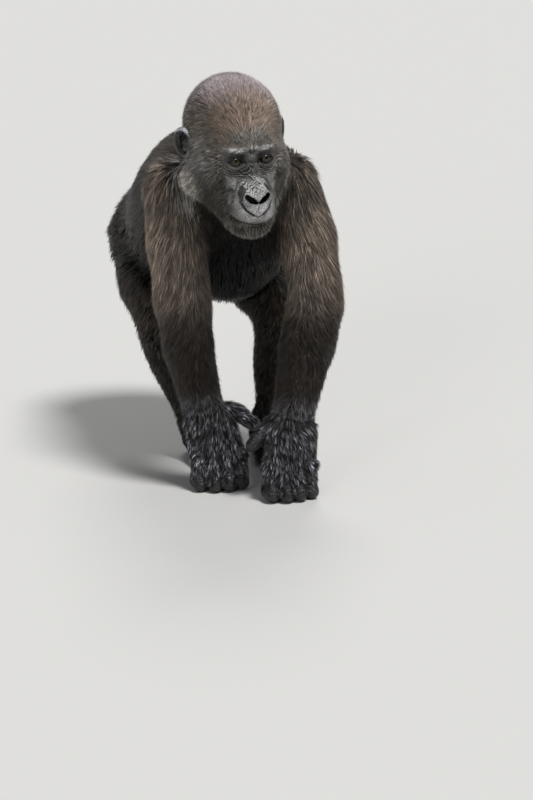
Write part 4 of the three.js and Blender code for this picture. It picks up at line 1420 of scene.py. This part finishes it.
# studio: pale floor, soft light from above, and the view
studio = {"floorSize": 400.0, "floor": "#d9d8d5", "air": "#e6e8ec", "airStrength": 0.17, "backdrop": 0.8}
lamps = {  # where each comes from, its strength, and how wide it looks in degrees
    "key_above": ((0.25, -0.5, 1.1), 2.5, 16),
    "fill_front": ((-0.9, -1.2, 0.6), 0.4, 20),
    "rim_behind": ((0.3, 1.0, 0.9), 0.85, 22),
}
# the view: degrees, metres, how much height it shows, and its aim from a spot on the floor between the hands
view = {"azimuth": -15, "elevation": 15, "distance": 8.0, "high": 1.12, "spot": (0.0011, -0.006, 0),
        "aimRight": 0.0182, "aimUp": 0.1316, "sensor": 36, "farthest": 60}


def makeStudio():
    floorMaterial = newMaterial("pale_painted_board")  # matt paint: an even field that keeps the shadow
    grain = addNode(floorMaterial, "ShaderNodeTexNoise", {"Scale": 40.0, "Detail": 3.0})
    rough = addNode(floorMaterial, "ShaderNodeMapRange", {"Value": grain.outputs["Fac"], "To Min": 0.8,
                                                          "To Max": 0.9})
    finished(floorMaterial, addNode(floorMaterial, "ShaderNodeBsdfPrincipled", {
        "Base Color": (*linear(studio["floor"]), 1), "Roughness": rough.outputs[0]}))
    half = studio["floorSize"] / 2 * metre
    corners = np.array([(-half, -half, 0), (half, -half, 0), (half, half, 0), (-half, half, 0)])
    floor = meshFrom("floor", corners, np.array([(0, 1, 2, 3)]))
    floor.data.materials.append(floorMaterial)
    world = bpy.data.worlds.new("studio_air")
    bpy.context.scene.world = world
    world.use_nodes = True
    world.node_tree.nodes.clear()
    seen = addNode(world, "ShaderNodeLightPath").outputs["Is Camera Ray"]
    strength = addNode(world, "ShaderNodeMapRange", {"Value": seen, "To Min": studio["airStrength"],
                                                     "To Max": studio["backdrop"]})
    air = addNode(world, "ShaderNodeBackground", {"Color": (*linear(studio["air"]), 1),
                                                  "Strength": strength.outputs[0]})
    addNode(world, "ShaderNodeOutputWorld", {"Surface": air.outputs[0]})


def lamp(name, comesFrom, strength, softness):
    # a broad far lamp, so its light is even over the floor
    data = bpy.data.lights.new(name, "SUN")
    data.energy, data.angle = strength, math.radians(softness)
    made = bpy.data.objects.new(name, data)
    bpy.context.scene.collection.objects.link(made)
    made.rotation_euler = Vector(comesFrom).to_track_quat("Z", "Y").to_euler()


def setView():
    a, e = math.radians(view["azimuth"]), math.radians(view["elevation"])
    back = Vector((math.sin(a) * math.cos(e), -math.cos(a) * math.cos(e), math.sin(e)))
    right = Vector((math.cos(a), math.sin(a), 0))
    up = back.cross(right)
    hands = [sum(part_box(f"hand_{s}"), Vector()) / 2 for s in sides]
    spot = (hands[0] + hands[1]) / 2 + Vector(view["spot"])
    spot.z = 0
    aim = spot + right * view["aimRight"] + up * view["aimUp"]
    data = bpy.data.cameras.new("view")
    data.sensor_fit = "AUTO"
    data.sensor_width = view["sensor"]
    data.lens = view["sensor"] * view["distance"] / view["high"]
    camera = bpy.data.objects.new("view", data)
    bpy.context.scene.collection.objects.link(camera)
    camera.location = aim + back * view["distance"]
    camera.rotation_euler = (-back).to_track_quat("-Z", "Y").to_euler()
    data.clip_end = view["farthest"]
    bpy.context.scene.camera = camera


makeStudio()
for name, looks in lamps.items():
    lamp(name, *looks)
setView()
bpy.context.scene.view_settings.view_transform = "Standard"
print("studio, lamps and view ready")
